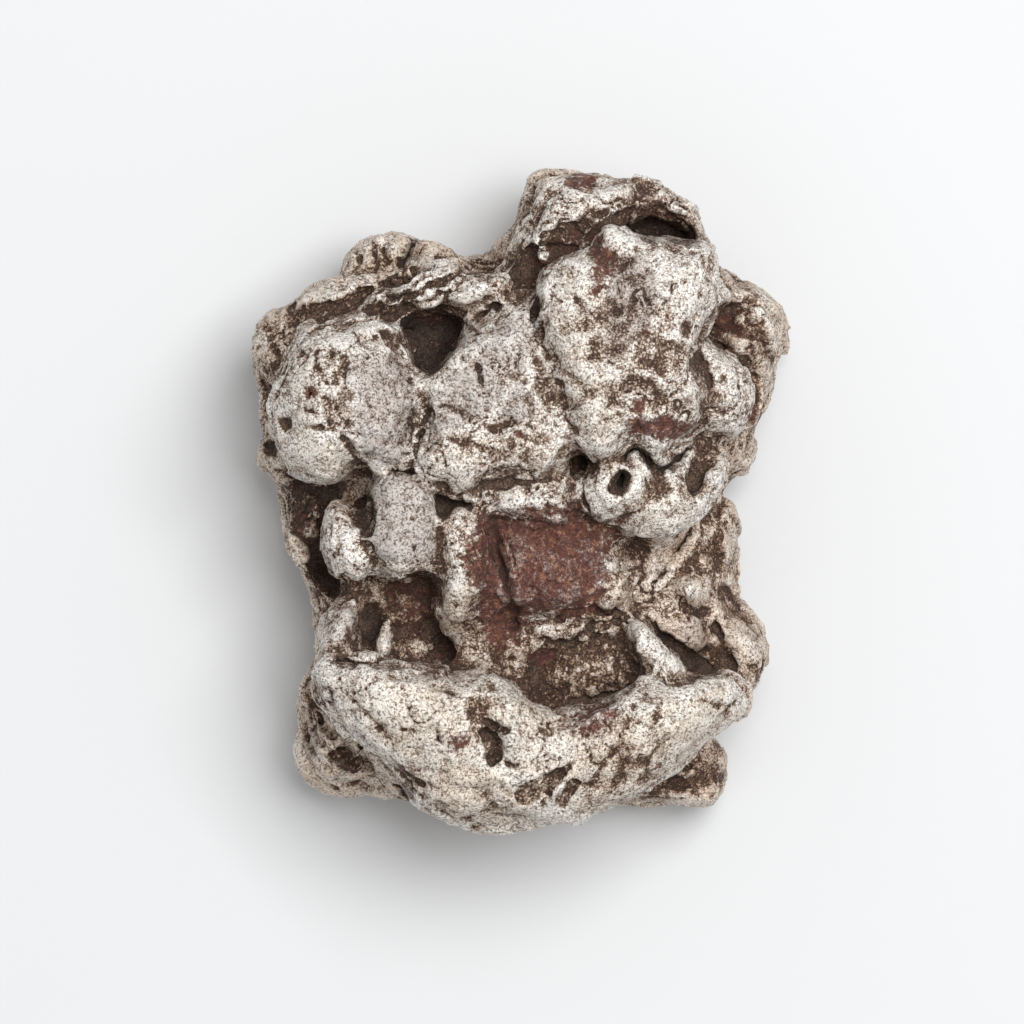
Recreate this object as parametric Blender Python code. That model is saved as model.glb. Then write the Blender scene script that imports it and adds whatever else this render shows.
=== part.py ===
"""Iron meteorite: one knobbly mass of metal, lying on its broad back.

The mass is built as it looks: rounded stones of metal that have grown into each other, with hollows
eaten out between them. Each stone and each hollow is an outline seen from above and the heights that
it spans. Lengths are in millimetres in the tables below and become metres in the mesh.
The origin is the middle of the footprint, on the surface that the meteorite lies on, with Z up.
"""

import math
from dataclasses import dataclass

import bmesh
import bpy
import numpy as np
from mathutils import Vector, noise

MM = 0.001

# Driving dimensions of the finished mass
WIDTH = 54.4
LENGTH = 66.4
HEIGHT = 38.0

# Fineness of the modelling
LOOP_POINTS = 72
RING_COUNT = 28
ROUGH_VOXEL = 0.8
VOXEL = 0.5
TRIANGLE_TARGET = 9300

# Gentle waviness that no outline gives: wavelength and height of each layer
WAVES = ((12.0, 1.0), (5.0, 0.5))

NAME = "meteorite"
METAL_COLOUR = (0.60, 0.57, 0.52, 1.0)
METAL_ROUGHNESS = 0.55
METAL_METALLIC = 0.45


@dataclass(frozen=True)
class Stone:
    """A rounded mass or hollow.

    outline is its widest section seen from above, low and high are its lowest and highest points,
    and belly is the height of the widest section. square runs from 1, an ellipsoid, towards 0, a
    block, for the upper half, and under does so for the lower half. tilt slopes the top, in mm of
    height for each mm along X and Y. lean shifts the lower half sideways by up to that much.
    middle is what the outline shrinks to, or None for its mean.
    """

    name: str
    outline: tuple
    low: float
    belly: float
    high: float
    square: float = 0.6
    under: float = 0.85
    tilt: tuple = (0.0, 0.0)
    lean: tuple = (0.0, 0.0)
    middle: tuple = None


CORE = (
    Stone(
        "core",
        ((-18.7, 15.4), (-9.2, 19.9), (0.8, 22.9), (11.8, 26.9), (18.3, 21.4), (21.0, 9.9), (19.0, 1.9),
         (16.8, -6.1), (19.0, -15.1), (17.8, -22.1), (11.8, -28.1), (1.8, -30.6), (-9.2, -28.6),
         (-17.7, -23.6), (-18.7, -15.1), (-17.7, -9.1), (-19.2, -0.1), (-22.6, 5.9), (-23.0, 10.9)),
        -1.5, 12.0, 25.0, square=0.7,
    ),
)

FRONT_PLATES = (
    Stone(
        "crown_slab",
        ((1.8, 22.3), (3.7, 23.6), (6.8, 25.1), (11.8, 25.8), (18.4, 24.9), (19.5, 21.4), (19.0, 17.7),
         (17.7, 14.9), (18.4, 10.4), (17.8, 7.5), (15.4, 5.5), (13.3, 3.3), (11.4, 5.3), (7.6, 3.5),
         (5.4, 6.5), (3.4, 11.4), (2.3, 15.4), (1.5, 19.1)),
        10.0, 26.0, 36.6, square=0.46, tilt=(-0.03, 0.04),
    ),
    Stone(
        "crown_knob",
        ((7.6, 25.0), (8.2, 26.6), (9.6, 27.6), (11.0, 26.6), (12.2, 25.0), (10.0, 23.6)),
        24.0, 31.0, 36.2, square=0.8,
    ),
    Stone(
        "middle_plate",
        ((-10.4, 11.3), (-8.2, 13.7), (-5.6, 16.1), (-2.2, 18.3), (1.0, 19.9), (1.8, 15.9), (3.4, 10.9),
         (5.2, 6.7), (3.8, 2.9), (-1.2, 2.1), (-5.2, 0.7), (-8.6, 1.5), (-10.6, 3.7), (-9.4, 7.9)),
        10.0, 25.0, 33.6, square=0.45, tilt=(0.05, -0.04),
    ),
    Stone(
        "boss",
        ((-22.2, 16.5), (-19.2, 17.7), (-15.0, 18.1), (-12.0, 17.3), (-10.8, 14.3), (-9.2, 10.7),
         (-9.8, 6.9), (-11.1, 3.7), (-13.7, 2.4), (-15.6, 3.7), (-18.7, 1.4), (-22.2, 2.5),
         (-24.0, 3.9), (-24.8, 7.4), (-25.2, 9.9), (-23.6, 13.7)),
        6.0, 21.0, 34.2, square=0.66, tilt=(0.08, 0.0),
    ),
    Stone(
        "chin",
        ((-20.3, -16.3), (-16.2, -16.3), (-11.2, -17.5), (-5.2, -16.9), (-1.7, -18.1), (1.2, -20.9),
         (5.3, -21.9), (10.6, -19.9), (12.8, -17.3), (16.8, -18.5), (21.2, -17.6), (22.9, -19.5),
         (22.3, -21.5), (19.8, -23.8), (16.8, -26.9), (12.3, -29.9), (7.6, -32.0), (2.1, -32.7),
         (-2.6, -33.3), (-7.6, -32.4), (-11.0, -30.5), (-13.8, -26.5), (-17.2, -23.5), (-19.7, -20.1)),
        8.0, 21.0, 33.4, square=0.64, tilt=(0.0, 0.22), middle=(0.5, -26.5),
    ),
)

LEFT_SIDE = (
    Stone(
        "left_column",
        ((-27.2, 16.9), (-26.0, 18.6), (-24.0, 19.3), (-22.0, 17.7), (-22.2, 13.7), (-23.4, 9.9),
         (-23.8, 6.3), (-25.2, 6.1), (-25.8, 9.9), (-26.7, 13.7)),
        3.0, 12.0, 22.0, square=0.85,
    ),
    Stone(
        "left_heel",
        ((-26.5, 4.1), (-25.6, 5.9), (-23.8, 6.1), (-22.2, 2.9), (-22.6, -0.1), (-23.8, 0.7), (-25.2, 2.3)),
        6.0, 13.0, 20.0, square=0.85,
    ),
    Stone(
        "cavity_floor",
        ((-23.7, 1.9), (-19.2, 1.9), (-17.7, -10.1), (-20.2, -10.6), (-22.5, -7.6), (-23.7, -4.6)),
        1.0, 7.0, 14.0, square=0.7,
    ),
    Stone(
        "cavity_wall",
        ((-23.9, 0.6), (-22.6, 0.6), (-22.9, -2.6), (-21.5, -5.7), (-19.5, -9.7), (-18.9, -11.5),
         (-20.4, -11.2), (-22.4, -8.1), (-23.9, -5.3), (-24.1, -2.6)),
        3.0, 12.0, 21.0, square=0.75, middle=(-22.2, -5.6),
    ),
    Stone(
        "side_lobe",
        ((-19.0, -0.9), (-17.6, -0.1), (-16.6, -1.1), (-16.2, -4.1), (-14.2, -6.7), (-15.2, -9.3),
         (-17.7, -8.9), (-19.2, -6.7), (-19.6, -4.1)),
        8.0, 20.0, 29.5, square=0.75,
    ),
    Stone(
        "left_block",
        ((-20.0, -11.1), (-17.7, -9.3), (-15.0, -10.1), (-15.8, -12.1), (-16.0, -15.1), (-17.2, -16.1),
         (-20.0, -16.3), (-20.4, -14.1)),
        4.0, 16.0, 28.0, square=0.72,
    ),
)

MIDDLE = (
    Stone(
        "cool_plate",
        ((-14.6, 1.7), (-12.6, 2.7), (-9.8, 1.9), (-8.2, -0.1), (-7.6, -4.1), (-8.2, -7.6),
         (-12.2, -7.9), (-15.0, -6.1), (-16.0, -4.1), (-14.6, -2.1)),
        10.0, 23.0, 31.5, square=0.55,
    ),
    Stone(
        "speckled_lobe",
        ((-7.6, -1.7), (-6.0, -0.3), (-3.6, -0.7), (-3.2, -3.1), (-3.6, -7.1), (-3.8, -11.1),
         (-5.6, -13.5), (-7.6, -12.5), (-8.2, -9.1), (-8.2, -5.1)),
        10.0, 23.0, 31.0, square=0.7, tilt=(0.0, 0.15),
    ),
    Stone(
        "bridge",
        ((-4.4, 1.5), (-0.2, 2.3), (3.8, 2.9), (6.2, 1.9), (6.0, -2.1), (1.8, -2.1), (-2.2, -1.7),
         (-4.0, -0.7)),
        10.0, 22.0, 31.0, square=0.62,
    ),
    Stone(
        "rust_floor",
        ((-2.2, -1.6), (7.8, -2.1), (10.3, -4.6), (11.8, -10.1), (7.8, -12.1), (1.3, -12.1),
         (-1.7, -10.1), (-3.7, -13.6), (-4.4, -10.1), (-3.2, -6.1)),
        10.0, 20.0, 28.4, square=0.6,
    ),
    Stone(
        "ring_lobe",
        ((6.4, 1.9), (8.2, 3.7), (11.4, 4.1), (13.4, 2.3), (12.8, -0.1), (11.0, -1.7), (7.8, -2.5),
         (6.0, -0.7)),
        12.0, 25.0, 32.5, square=0.62,
    ),
    Stone(
        "slanting_rod",
        ((10.6, -12.5), (11.8, -12.1), (14.2, -14.7), (16.4, -17.3), (15.0, -18.3), (12.8, -16.7),
         (11.2, -14.7)),
        14.0, 23.0, 30.0, square=0.7,
    ),
)

UPPER_SIDE = (
    Stone(
        "upper_band",
        ((-24.1, 18.7), (-22.2, 20.2), (-18.6, 21.3), (-14.8, 22.2), (-11.2, 23.0), (-8.2, 24.2),
         (-5.4, 23.7), (-3.0, 21.9), (-4.2, 19.4), (-8.2, 18.3), (-14.2, 18.1), (-19.2, 17.3),
         (-22.4, 15.3), (-23.7, 16.4)),
        4.0, 15.0, 26.0, square=0.7, tilt=(0.12, 0.0),
    ),
    Stone(
        "grained_band",
        ((-14.8, 19.6), (-13.0, 21.3), (-9.2, 23.7), (-7.0, 24.1), (-5.2, 23.3), (-4.8, 20.9),
         (-8.2, 18.7), (-12.2, 18.7)),
        8.0, 21.0, 29.5, square=0.7,
    ),
    Stone(
        "upper_knob",
        ((-7.5, 20.4), (-6.6, 21.6), (-4.2, 22.5), (-1.9, 23.1), (-0.2, 22.4), (-0.7, 20.4),
         (-3.2, 19.5), (-4.4, 18.4), (-6.4, 18.5)),
        12.0, 23.0, 31.0, square=0.65,
    ),
    Stone(
        "back_lobe",
        ((-18.6, 21.5), (-18.2, 23.7), (-17.4, 25.1), (-15.6, 25.9), (-12.4, 26.5), (-10.2, 26.3),
         (-7.6, 25.6), (-4.4, 24.0), (-5.2, 21.9), (-10.2, 20.4), (-16.2, 19.9)),
        2.0, 10.0, 18.5, square=0.75,
    ),
    Stone(
        "notch_lobe",
        ((-2.8, 24.6), (-2.0, 26.4), (-0.9, 27.0), (1.0, 26.0), (0.5, 22.5), (-2.0, 22.6)),
        3.0, 9.0, 16.0, square=0.85,
    ),
    Stone(
        "arch_left",
        ((1.2, 31.6), (2.4, 32.9), (5.4, 33.3), (9.0, 32.8), (12.0, 32.1), (13.8, 30.7), (11.8, 28.7),
         (8.8, 27.9), (6.8, 26.3), (3.8, 25.3), (1.4, 23.7), (0.6, 20.9), (-1.4, 19.9), (-1.6, 23.7),
         (-0.4, 27.1), (0.5, 29.4)),
        2.0, 15.0, 30.5, square=0.68, tilt=(0.0, -0.25), middle=(3.6, 27.6),
    ),
    Stone(
        "arch_right",
        ((10.8, 32.3), (14.2, 31.1), (16.8, 30.3), (18.4, 28.5), (18.9, 26.7), (20.4, 24.1),
         (20.2, 21.5), (19.0, 20.7), (17.6, 24.5), (16.2, 27.1), (13.8, 28.9), (11.4, 28.9)),
        2.0, 12.0, 25.5, square=0.8, middle=(16.9, 27.9),
    ),
)

RIGHT_SIDE = (
    Stone(
        "ear_rim",
        ((20.0, 23.7), (22.2, 22.3), (25.4, 19.5), (27.1, 16.7), (26.7, 13.9), (25.0, 12.5),
         (23.8, 14.9), (23.0, 17.7), (21.4, 19.9), (19.8, 20.9)),
        3.0, 12.0, 24.0, square=0.85, middle=(24.2, 17.9),
    ),
    Stone(
        "ear_floor",
        ((19.3, 19.9), (22.3, 19.9), (25.3, 15.9), (25.8, 11.9), (23.3, 9.9), (20.3, 12.9)),
        2.0, 8.0, 16.0, square=0.7,
    ),
    Stone(
        "lower_ear",
        ((23.0, 12.5), (26.3, 13.7), (26.2, 11.9), (24.8, 8.5), (23.0, 5.9), (21.8, 4.5), (20.4, 5.9),
         (21.6, 8.7), (22.2, 10.9)),
        3.0, 11.0, 21.0, square=0.85,
    ),
    Stone(
        "ear_lobe",
        ((18.2, 16.1), (20.0, 15.1), (22.0, 13.9), (22.7, 10.3), (21.8, 7.5), (20.0, 6.7), (18.0, 7.7),
         (17.6, 10.9), (17.2, 13.9)),
        8.0, 19.0, 30.5, square=0.75,
    ),
    Stone(
        "upper_ear_lobe",
        ((19.4, 22.3), (21.2, 21.5), (21.8, 19.9), (20.0, 17.7), (18.8, 19.9)),
        8.0, 19.0, 27.5, square=0.85,
    ),
    Stone(
        "right_lobe",
        ((13.6, 2.3), (15.8, 4.3), (17.8, 5.3), (20.2, 4.3), (20.2, 2.1), (18.6, -1.1), (16.6, -3.5),
         (14.2, -4.4), (10.8, -3.9), (10.0, -2.5), (12.4, -0.3)),
        10.0, 23.0, 31.5, square=0.68, tilt=(-0.2, 0.0),
    ),
    Stone(
        "flank",
        ((11.8, -4.6), (16.8, -2.1), (20.6, 2.9), (21.1, 0.4), (21.3, -2.6), (20.7, -4.9), (21.4, -8.1),
         (23.8, -11.7), (25.4, -14.7), (24.6, -18.1), (23.0, -20.3), (17.8, -19.1), (12.8, -14.1),
         (9.8, -9.1)),
        2.0, 9.0, 20.5, square=0.68, tilt=(-0.6, 0.0), middle=(17.4, -9.6),
    ),
    Stone(
        "oval_lobe",
        ((15.2, -8.1), (16.8, -7.1), (18.4, -8.5), (18.2, -10.5), (16.4, -11.1), (15.0, -10.1)),
        10.0, 18.0, 25.0, square=0.8,
    ),
    Stone(
        "grey_block",
        ((15.6, -11.3), (17.8, -10.9), (19.1, -13.1), (18.6, -15.7), (16.8, -16.1), (15.4, -14.1)),
        8.0, 16.0, 22.5, square=0.6,
    ),
    Stone(
        "low_right_lobe",
        ((19.4, -11.1), (22.3, -11.3), (24.8, -14.1), (25.1, -16.6), (24.0, -19.1), (22.3, -20.1),
         (20.8, -17.1), (19.6, -14.1)),
        3.0, 11.0, 19.5, square=0.8,
    ),
)

LOWER_SIDE = (
    Stone(
        "left_foot",
        ((-22.5, -19.7), (-21.6, -18.1), (-19.6, -16.9), (-14.2, -24.1), (-9.7, -30.1), (-10.7, -31.0),
         (-15.8, -30.3), (-20.2, -29.7), (-21.8, -28.0), (-22.5, -26.5), (-22.2, -23.1)),
        1.0, 7.0, 17.0, square=0.72,
    ),
    Stone(
        "foot_ridge",
        ((-19.6, -20.9), (-18.2, -22.3), (-15.0, -26.1), (-11.0, -30.7), (-12.6, -30.1), (-16.2, -27.1),
         (-18.8, -24.6), (-19.8, -22.6)),
        6.0, 14.0, 23.0, square=0.8,
    ),
    Stone(
        "foot_lobe",
        ((-22.5, -19.7), (-21.6, -18.1), (-20.2, -17.3), (-19.8, -20.1), (-21.4, -22.3)),
        6.0, 13.0, 21.0, square=0.85,
    ),
    Stone(
        "right_foot",
        ((7.4, -31.3), (11.8, -28.7), (17.8, -24.9), (20.2, -23.9), (20.9, -27.1), (20.5, -30.9),
         (15.5, -30.7), (9.8, -31.3)),
        1.0, 6.0, 13.5, square=0.72,
    ),
)


def boulder(name, place, radii, points=10):
    """Return a stone with an elliptic outline, from its middle point and its three radii."""
    turns = [2.0 * math.pi * step / points for step in range(points)]
    outline = tuple(
        (place[0] + radii[0] * math.cos(turn), place[1] + radii[1] * math.sin(turn)) for turn in turns
    )
    return Stone(name, outline, place[2] - radii[2], place[2], place[2] + radii[2], square=0.9)


BOULDERS = (
    boulder("upper_left_bulge", (-19.8, 12.5, 9.5), (6.4, 5.6, 8.0)),
    boulder("left_bulge", (-20.6, 3.2, 8.5), (4.6, 5.6, 7.0)),
    boulder("waist_bulge", (-16.0, -8.0, 9.0), (5.2, 5.0, 7.6)),
    boulder("lower_left_bulge", (-15.4, -16.4, 10.0), (4.8, 5.6, 8.6)),
    boulder("chin_left_bulge", (-12.6, -23.6, 11.0), (5.4, 5.6, 8.6)),
    boulder("chin_bulge", (-3.4, -27.0, 10.5), (7.4, 5.4, 9.0)),
    boulder("chin_right_bulge", (7.4, -25.6, 11.0), (7.2, 5.6, 8.4)),
    boulder("arm_bulge", (16.0, -21.0, 10.0), (5.2, 5.4, 8.0)),
    boulder("lower_right_bulge", (18.8, -13.4, 9.0), (5.2, 5.6, 7.4)),
    boulder("right_bulge", (16.4, -2.6, 11.0), (4.8, 6.6, 8.6)),
    boulder("ear_bulge", (19.4, 7.2, 9.5), (4.6, 5.6, 7.8)),
    boulder("upper_right_bulge", (20.6, 15.4, 8.5), (5.6, 5.8, 7.0)),
    boulder("arch_bulge", (14.6, 24.4, 8.0), (5.2, 5.8, 6.8)),
    boulder("arch_left_bulge", (6.0, 26.6, 9.5), (5.8, 5.6, 8.0)),
    boulder("notch_bulge", (-2.8, 20.6, 9.0), (5.6, 4.4, 7.6)),
    boulder("upper_bulge", (-11.6, 19.6, 8.0), (7.0, 5.4, 6.8)),
)

STONES = CORE + FRONT_PLATES + LEFT_SIDE + MIDDLE + UPPER_SIDE + RIGHT_SIDE + LOWER_SIDE + BOULDERS

SKY = 46.0

HOLLOWS = (
    Stone(
        "deep_hole",
        ((-12.0, 17.7), (-9.8, 18.5), (-7.0, 18.1), (-6.1, 16.7), (-7.0, 14.7), (-8.4, 12.7),
         (-9.8, 12.3), (-11.0, 13.9)),
        9.0, 34.0, SKY, square=0.8,
    ),
    Stone(
        "arch_cavity",
        ((8.4, 26.7), (10.4, 27.9), (13.8, 28.9), (16.8, 27.7), (18.2, 25.9), (17.4, 25.3), (14.2, 25.1),
         (11.8, 25.6), (10.0, 26.3)),
        13.0, 26.0, SKY, square=0.6, lean=(0.0, -1.5),
    ),
    Stone(
        "small_cavity",
        ((2.2, 24.1), (3.4, 25.5), (5.8, 25.9), (6.6, 24.9), (5.4, 23.9), (3.4, 23.5)),
        18.0, 30.0, SKY, square=0.8,
    ),
    Stone(
        "arch_recess",
        ((6.6, 25.5), (8.0, 25.3), (9.2, 23.7), (8.4, 22.5), (7.2, 23.7)),
        30.0, 38.0, SKY, square=0.9,
    ),
    Stone(
        "leg_recess",
        ((0.2, 25.3), (1.6, 23.7), (1.2, 20.7), (-0.6, 20.9), (-0.4, 23.1)),
        21.0, 32.0, SKY, square=0.9,
    ),
    Stone(
        "ear_hollow",
        ((19.6, 18.7), (21.8, 19.7), (24.0, 18.1), (25.4, 14.9), (24.6, 13.3), (22.9, 13.7),
         (21.4, 15.5), (19.9, 16.5)),
        13.0, 26.0, SKY, square=0.7,
    ),
    Stone(
        "lower_ear_hollow",
        ((24.8, 11.7), (24.2, 9.5), (22.9, 7.1), (21.8, 6.5), (22.6, 9.7), (23.5, 11.1)),
        11.0, 22.0, SKY, square=0.8,
    ),
    Stone(
        "lobe_hollow",
        ((16.8, 5.1), (19.4, 5.9), (20.2, 4.7), (19.0, 2.1), (18.4, -0.1), (16.2, -0.1), (15.6, 2.3)),
        25.0, 36.0, SKY, square=0.9,
    ),
    Stone(
        "side_cavity",
        ((-23.2, 1.3), (-21.0, 2.5), (-18.0, 1.1), (-19.2, -0.7), (-19.7, -3.3), (-19.5, -6.1),
         (-18.8, -8.1), (-19.6, -9.1), (-21.2, -7.1), (-22.7, -4.1), (-23.1, -1.3)),
        12.0, 24.0, SKY, square=0.6, middle=(-21.0, -2.4),
    ),
    Stone(
        "side_slot",
        ((-16.4, -0.3), (-14.8, -0.1), (-14.7, -2.1), (-15.6, -3.9), (-16.4, -2.3)),
        18.0, 30.0, SKY, square=0.7,
    ),
    Stone(
        "red_cavity",
        ((-13.6, -9.3), (-12.0, -7.7), (-9.8, -7.5), (-8.2, -9.1), (-8.6, -10.9), (-10.4, -11.6),
         (-12.6, -11.2)),
        16.0, 28.0, SKY, square=0.7,
    ),
    Stone(
        "brown_cavity",
        ((-13.1, -12.5), (-11.0, -12.1), (-8.2, -12.6), (-8.4, -14.1), (-11.2, -14.5), (-12.9, -14.2)),
        15.0, 28.0, SKY, square=0.7,
    ),
    Stone(
        "left_well",
        ((-16.0, -13.3), (-15.0, -10.7), (-13.9, -11.3), (-14.1, -13.1), (-14.4, -15.1), (-15.6, -15.1)),
        15.0, 28.0, SKY, square=0.7,
    ),
    Stone(
        "lip_recess",
        ((-10.6, -16.9), (-9.6, -15.3), (-7.0, -14.3), (-5.8, -15.0), (-7.2, -16.7), (-8.8, -17.5)),
        18.0, 29.0, SKY, square=0.7,
    ),
    Stone(
        "lower_basin",
        ((-0.6, -16.9), (0.8, -14.3), (3.8, -13.3), (9.8, -12.5), (11.2, -14.9), (13.0, -17.1),
         (11.2, -19.5), (7.8, -20.3), (4.4, -21.7), (1.4, -20.5), (0.0, -19.1)),
        19.5, 30.0, SKY, square=0.6, lean=(0.0, -1.6),
    ),
    Stone(
        "lobe_shadow",
        ((9.8, -4.8), (11.8, -4.3), (14.2, -4.9), (14.0, -6.7), (12.3, -7.9), (10.4, -6.7)),
        21.0, 31.0, SKY, square=0.8, lean=(0.0, 1.0),
    ),
    Stone(
        "flank_slot",
        ((12.2, -12.1), (14.0, -13.3), (16.8, -16.1), (20.6, -16.9), (20.4, -17.9), (17.8, -18.3),
         (15.6, -16.5), (13.4, -14.1)),
        11.0, 24.0, SKY, square=0.7, middle=(16.4, -16.0),
    ),
    Stone(
        "right_foot_hollow",
        ((13.8, -29.4), (17.8, -26.1), (19.4, -25.6), (19.9, -27.7), (19.2, -29.4), (15.8, -29.9)),
        5.0, 12.0, 18.0, square=0.7,
    ),
    Stone(
        "left_foot_hollow",
        ((-20.2, -27.3), (-17.7, -27.5), (-16.0, -27.3), (-14.8, -29.3), (-17.2, -29.1), (-20.0, -28.5)),
        9.0, 20.0, 28.0, square=0.8,
    ),
    Stone(
        "foot_gap",
        ((-22.9, -22.9), (-20.2, -22.5), (-19.9, -24.7), (-21.4, -25.1), (-22.9, -24.5)),
        10.0, 20.0, 28.0, square=0.8,
    ),
    Stone(
        "band_recess",
        ((-23.0, 17.9), (-20.2, 19.6), (-16.2, 20.9), (-13.2, 21.5), (-14.6, 19.9), (-17.7, 18.5),
         (-21.5, 17.3)),
        18.5, 30.0, SKY, square=0.8,
    ),
    Stone(
        "back_lobe_pit",
        ((-12.2, 24.9), (-10.9, 25.7), (-10.1, 24.9), (-10.9, 23.3), (-12.2, 23.5)),
        11.0, 20.0, 30.0, square=0.9,
    ),
)


@dataclass(frozen=True)
class Thumbprint:
    """A shallow round hollow in the side or back, as a thumb would press in clay."""

    place: tuple
    radius: float
    depth: float


THUMBPRINTS = (
    Thumbprint((-25.0, 2.0, 2.0), 6.5, 1.8),
    Thumbprint((-22.0, -16.0, 5.0), 6.0, 1.6),
    Thumbprint((-12.0, -30.0, 3.0), 7.0, 1.8),
    Thumbprint((5.0, -33.0, 6.0), 7.0, 2.0),
    Thumbprint((22.0, -22.0, 8.0), 6.0, 1.5),
    Thumbprint((22.5, -3.0, 10.0), 7.5, 1.6),
    Thumbprint((25.0, 9.0, 4.0), 6.0, 1.6),
    Thumbprint((15.0, 30.0, 6.0), 7.0, 1.8),
    Thumbprint((2.0, 30.0, 8.0), 6.5, 1.6),
    Thumbprint((-12.0, 24.0, 1.0), 7.0, 1.8),
    Thumbprint((-25.0, 14.0, 4.0), 6.5, 1.5),
    Thumbprint((-9.0, -33.5, 15.0), 6.0, 1.5),
    Thumbprint((1.5, -35.5, 19.0), 6.5, 1.6),
    Thumbprint((13.0, -30.5, 18.0), 6.5, 1.9),
    Thumbprint((20.5, -25.0, 15.0), 5.0, 1.4),
    Thumbprint((-17.5, -26.5, 19.0), 5.5, 1.6),
    Thumbprint((-23.5, -12.0, 17.0), 5.5, 1.5),
    Thumbprint((-27.5, 9.0, 20.0), 5.5, 1.4),
    Thumbprint((-21.0, 22.5, 12.0), 6.0, 1.4),
    Thumbprint((-6.0, 28.0, 12.0), 5.5, 1.5),
    Thumbprint((8.0, 35.5, 16.0), 6.5, 1.6),
    Thumbprint((17.5, 32.5, 15.0), 6.0, 1.5),
    Thumbprint((24.0, 24.0, 13.0), 5.5, 1.5),
    Thumbprint((29.0, 14.0, 13.0), 5.5, 1.4),
    Thumbprint((23.5, 5.0, 17.0), 5.0, 1.5),
    Thumbprint((25.0, -8.0, 15.0), 6.0, 1.6),
)


def clear_scene():
    """Remove whatever objects the file opened with."""
    for old in list(bpy.data.objects):
        bpy.data.objects.remove(old, do_unlink=True)


def smooth_loop(points, count):
    """Return count points along a closed Catmull-Rom curve through the points, anticlockwise."""
    knots = np.array(points, dtype=float)
    after = np.roll(knots, -1, axis=0)
    if np.sum(knots[:, 0] * after[:, 1] - after[:, 0] * knots[:, 1]) < 0:
        knots = knots[::-1]
    total = len(knots)
    place = np.arange(count) * total / count
    start = place.astype(int)
    part = (place - start)[:, None]
    before, here = knots[(start - 1) % total], knots[start % total]
    ahead, beyond = knots[(start + 1) % total], knots[(start + 2) % total]
    return 0.5 * (
        2.0 * here
        + (ahead - before) * part
        + (2.0 * before - 5.0 * here + 4.0 * ahead - beyond) * part**2
        + (3.0 * here - before - 3.0 * ahead + beyond) * part**3
    )


def stone_mesh(stone):
    """Return one rounded mass as a mesh: a sphere drawn out to the stone's outline and heights."""
    mesh = bmesh.new()
    bmesh.ops.create_uvsphere(mesh, u_segments=LOOP_POINTS, v_segments=RING_COUNT, radius=1.0)
    loop = smooth_loop(stone.outline, LOOP_POINTS)
    middle = np.array(stone.middle) if stone.middle else loop.mean(axis=0)
    for vert in mesh.verts:
        x, y, z = vert.co
        turn = np.arctan2(y, x) / (2.0 * np.pi) * LOOP_POINTS
        edge = loop[int(round(turn)) % LOOP_POINTS]
        bend = stone.square if z >= 0.0 else stone.under
        reach = np.hypot(x, y) ** bend
        rise = abs(z) ** bend
        flat = middle + (edge - middle) * reach
        if z >= 0.0:
            height = stone.belly + (stone.high - stone.belly) * rise
            height += rise * float(np.dot(stone.tilt, flat - middle))
        else:
            height = stone.belly - (stone.belly - stone.low) * rise
            flat = flat + np.array(stone.lean) * rise
        vert.co = Vector((flat[0] * MM, flat[1] * MM, height * MM))
    data = bpy.data.meshes.new(stone.name)
    mesh.to_mesh(data)
    mesh.free()
    return data


def stones_object(name, stones):
    """Return an object that holds all the given stones, still overlapping."""
    mesh = bmesh.new()
    for stone in stones:
        data = stone_mesh(stone)
        mesh.from_mesh(data)
        bpy.data.meshes.remove(data)
    data = bpy.data.meshes.new(name)
    mesh.to_mesh(data)
    mesh.free()
    made = bpy.data.objects.new(name, data)
    bpy.context.scene.collection.objects.link(made)
    return made


def add_remesh(thing, voxel):
    """Grow a body's overlapping parts into one skin."""
    skin = thing.modifiers.new("Grow together", "REMESH")
    skin.mode = "VOXEL"
    skin.voxel_size = voxel * MM


def settle(thing):
    """Replace an object's mesh with what its modifiers make of it."""
    graph = bpy.context.evaluated_depsgraph_get()
    result = bpy.data.meshes.new_from_object(thing.evaluated_get(graph))
    thing.modifiers.clear()
    thing.data = result


def soften(thing, factor, repeats):
    """Smooth the skin a little."""
    relax = thing.modifiers.new("Soften", "SMOOTH")
    relax.factor = factor
    relax.iterations = repeats


def cut_hollows(body):
    """Eat the hollows out of the mass."""
    cutter = stones_object("hollow_cutter", HOLLOWS)
    cutter.hide_render = True
    cutter.display_type = "WIRE"
    add_remesh(cutter, ROUGH_VOXEL)
    settle(cutter)
    cut = body.modifiers.new("Hollows", "BOOLEAN")
    cut.operation = "DIFFERENCE"
    cut.object = cutter
    settle(body)
    bpy.data.objects.remove(cutter, do_unlink=True)


def wave(point):
    """Return the surface's gentle rise or fall at a point in metres, in metres."""
    height = 0.0
    for length, size in WAVES:
        height += size * noise.noise(point / (length * MM))
    return height * MM


def weather(body):
    """Press the thumbprints into sides and back, and give the whole skin its waviness."""
    mesh = bmesh.new()
    mesh.from_mesh(body.data)
    mesh.normal_update()
    moves = []
    for vert in mesh.verts:
        shift = wave(vert.co)
        for mark in THUMBPRINTS:
            gap = (vert.co - Vector(mark.place) * MM).length / (mark.radius * MM)
            if gap < 1.0:
                shift -= mark.depth * MM * (1.0 - gap * gap) ** 2
        moves.append(vert.normal * shift)
    for vert, move in zip(mesh.verts, moves):
        vert.co += move
    mesh.to_mesh(body.data)
    mesh.free()


def thin_out(body):
    """Bring the skin down to the wanted number of triangles."""
    now = sum(len(face.vertices) - 2 for face in body.data.polygons)
    fewer = body.modifiers.new("Thin out", "DECIMATE")
    fewer.ratio = TRIANGLE_TARGET / now
    settle(body)


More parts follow.
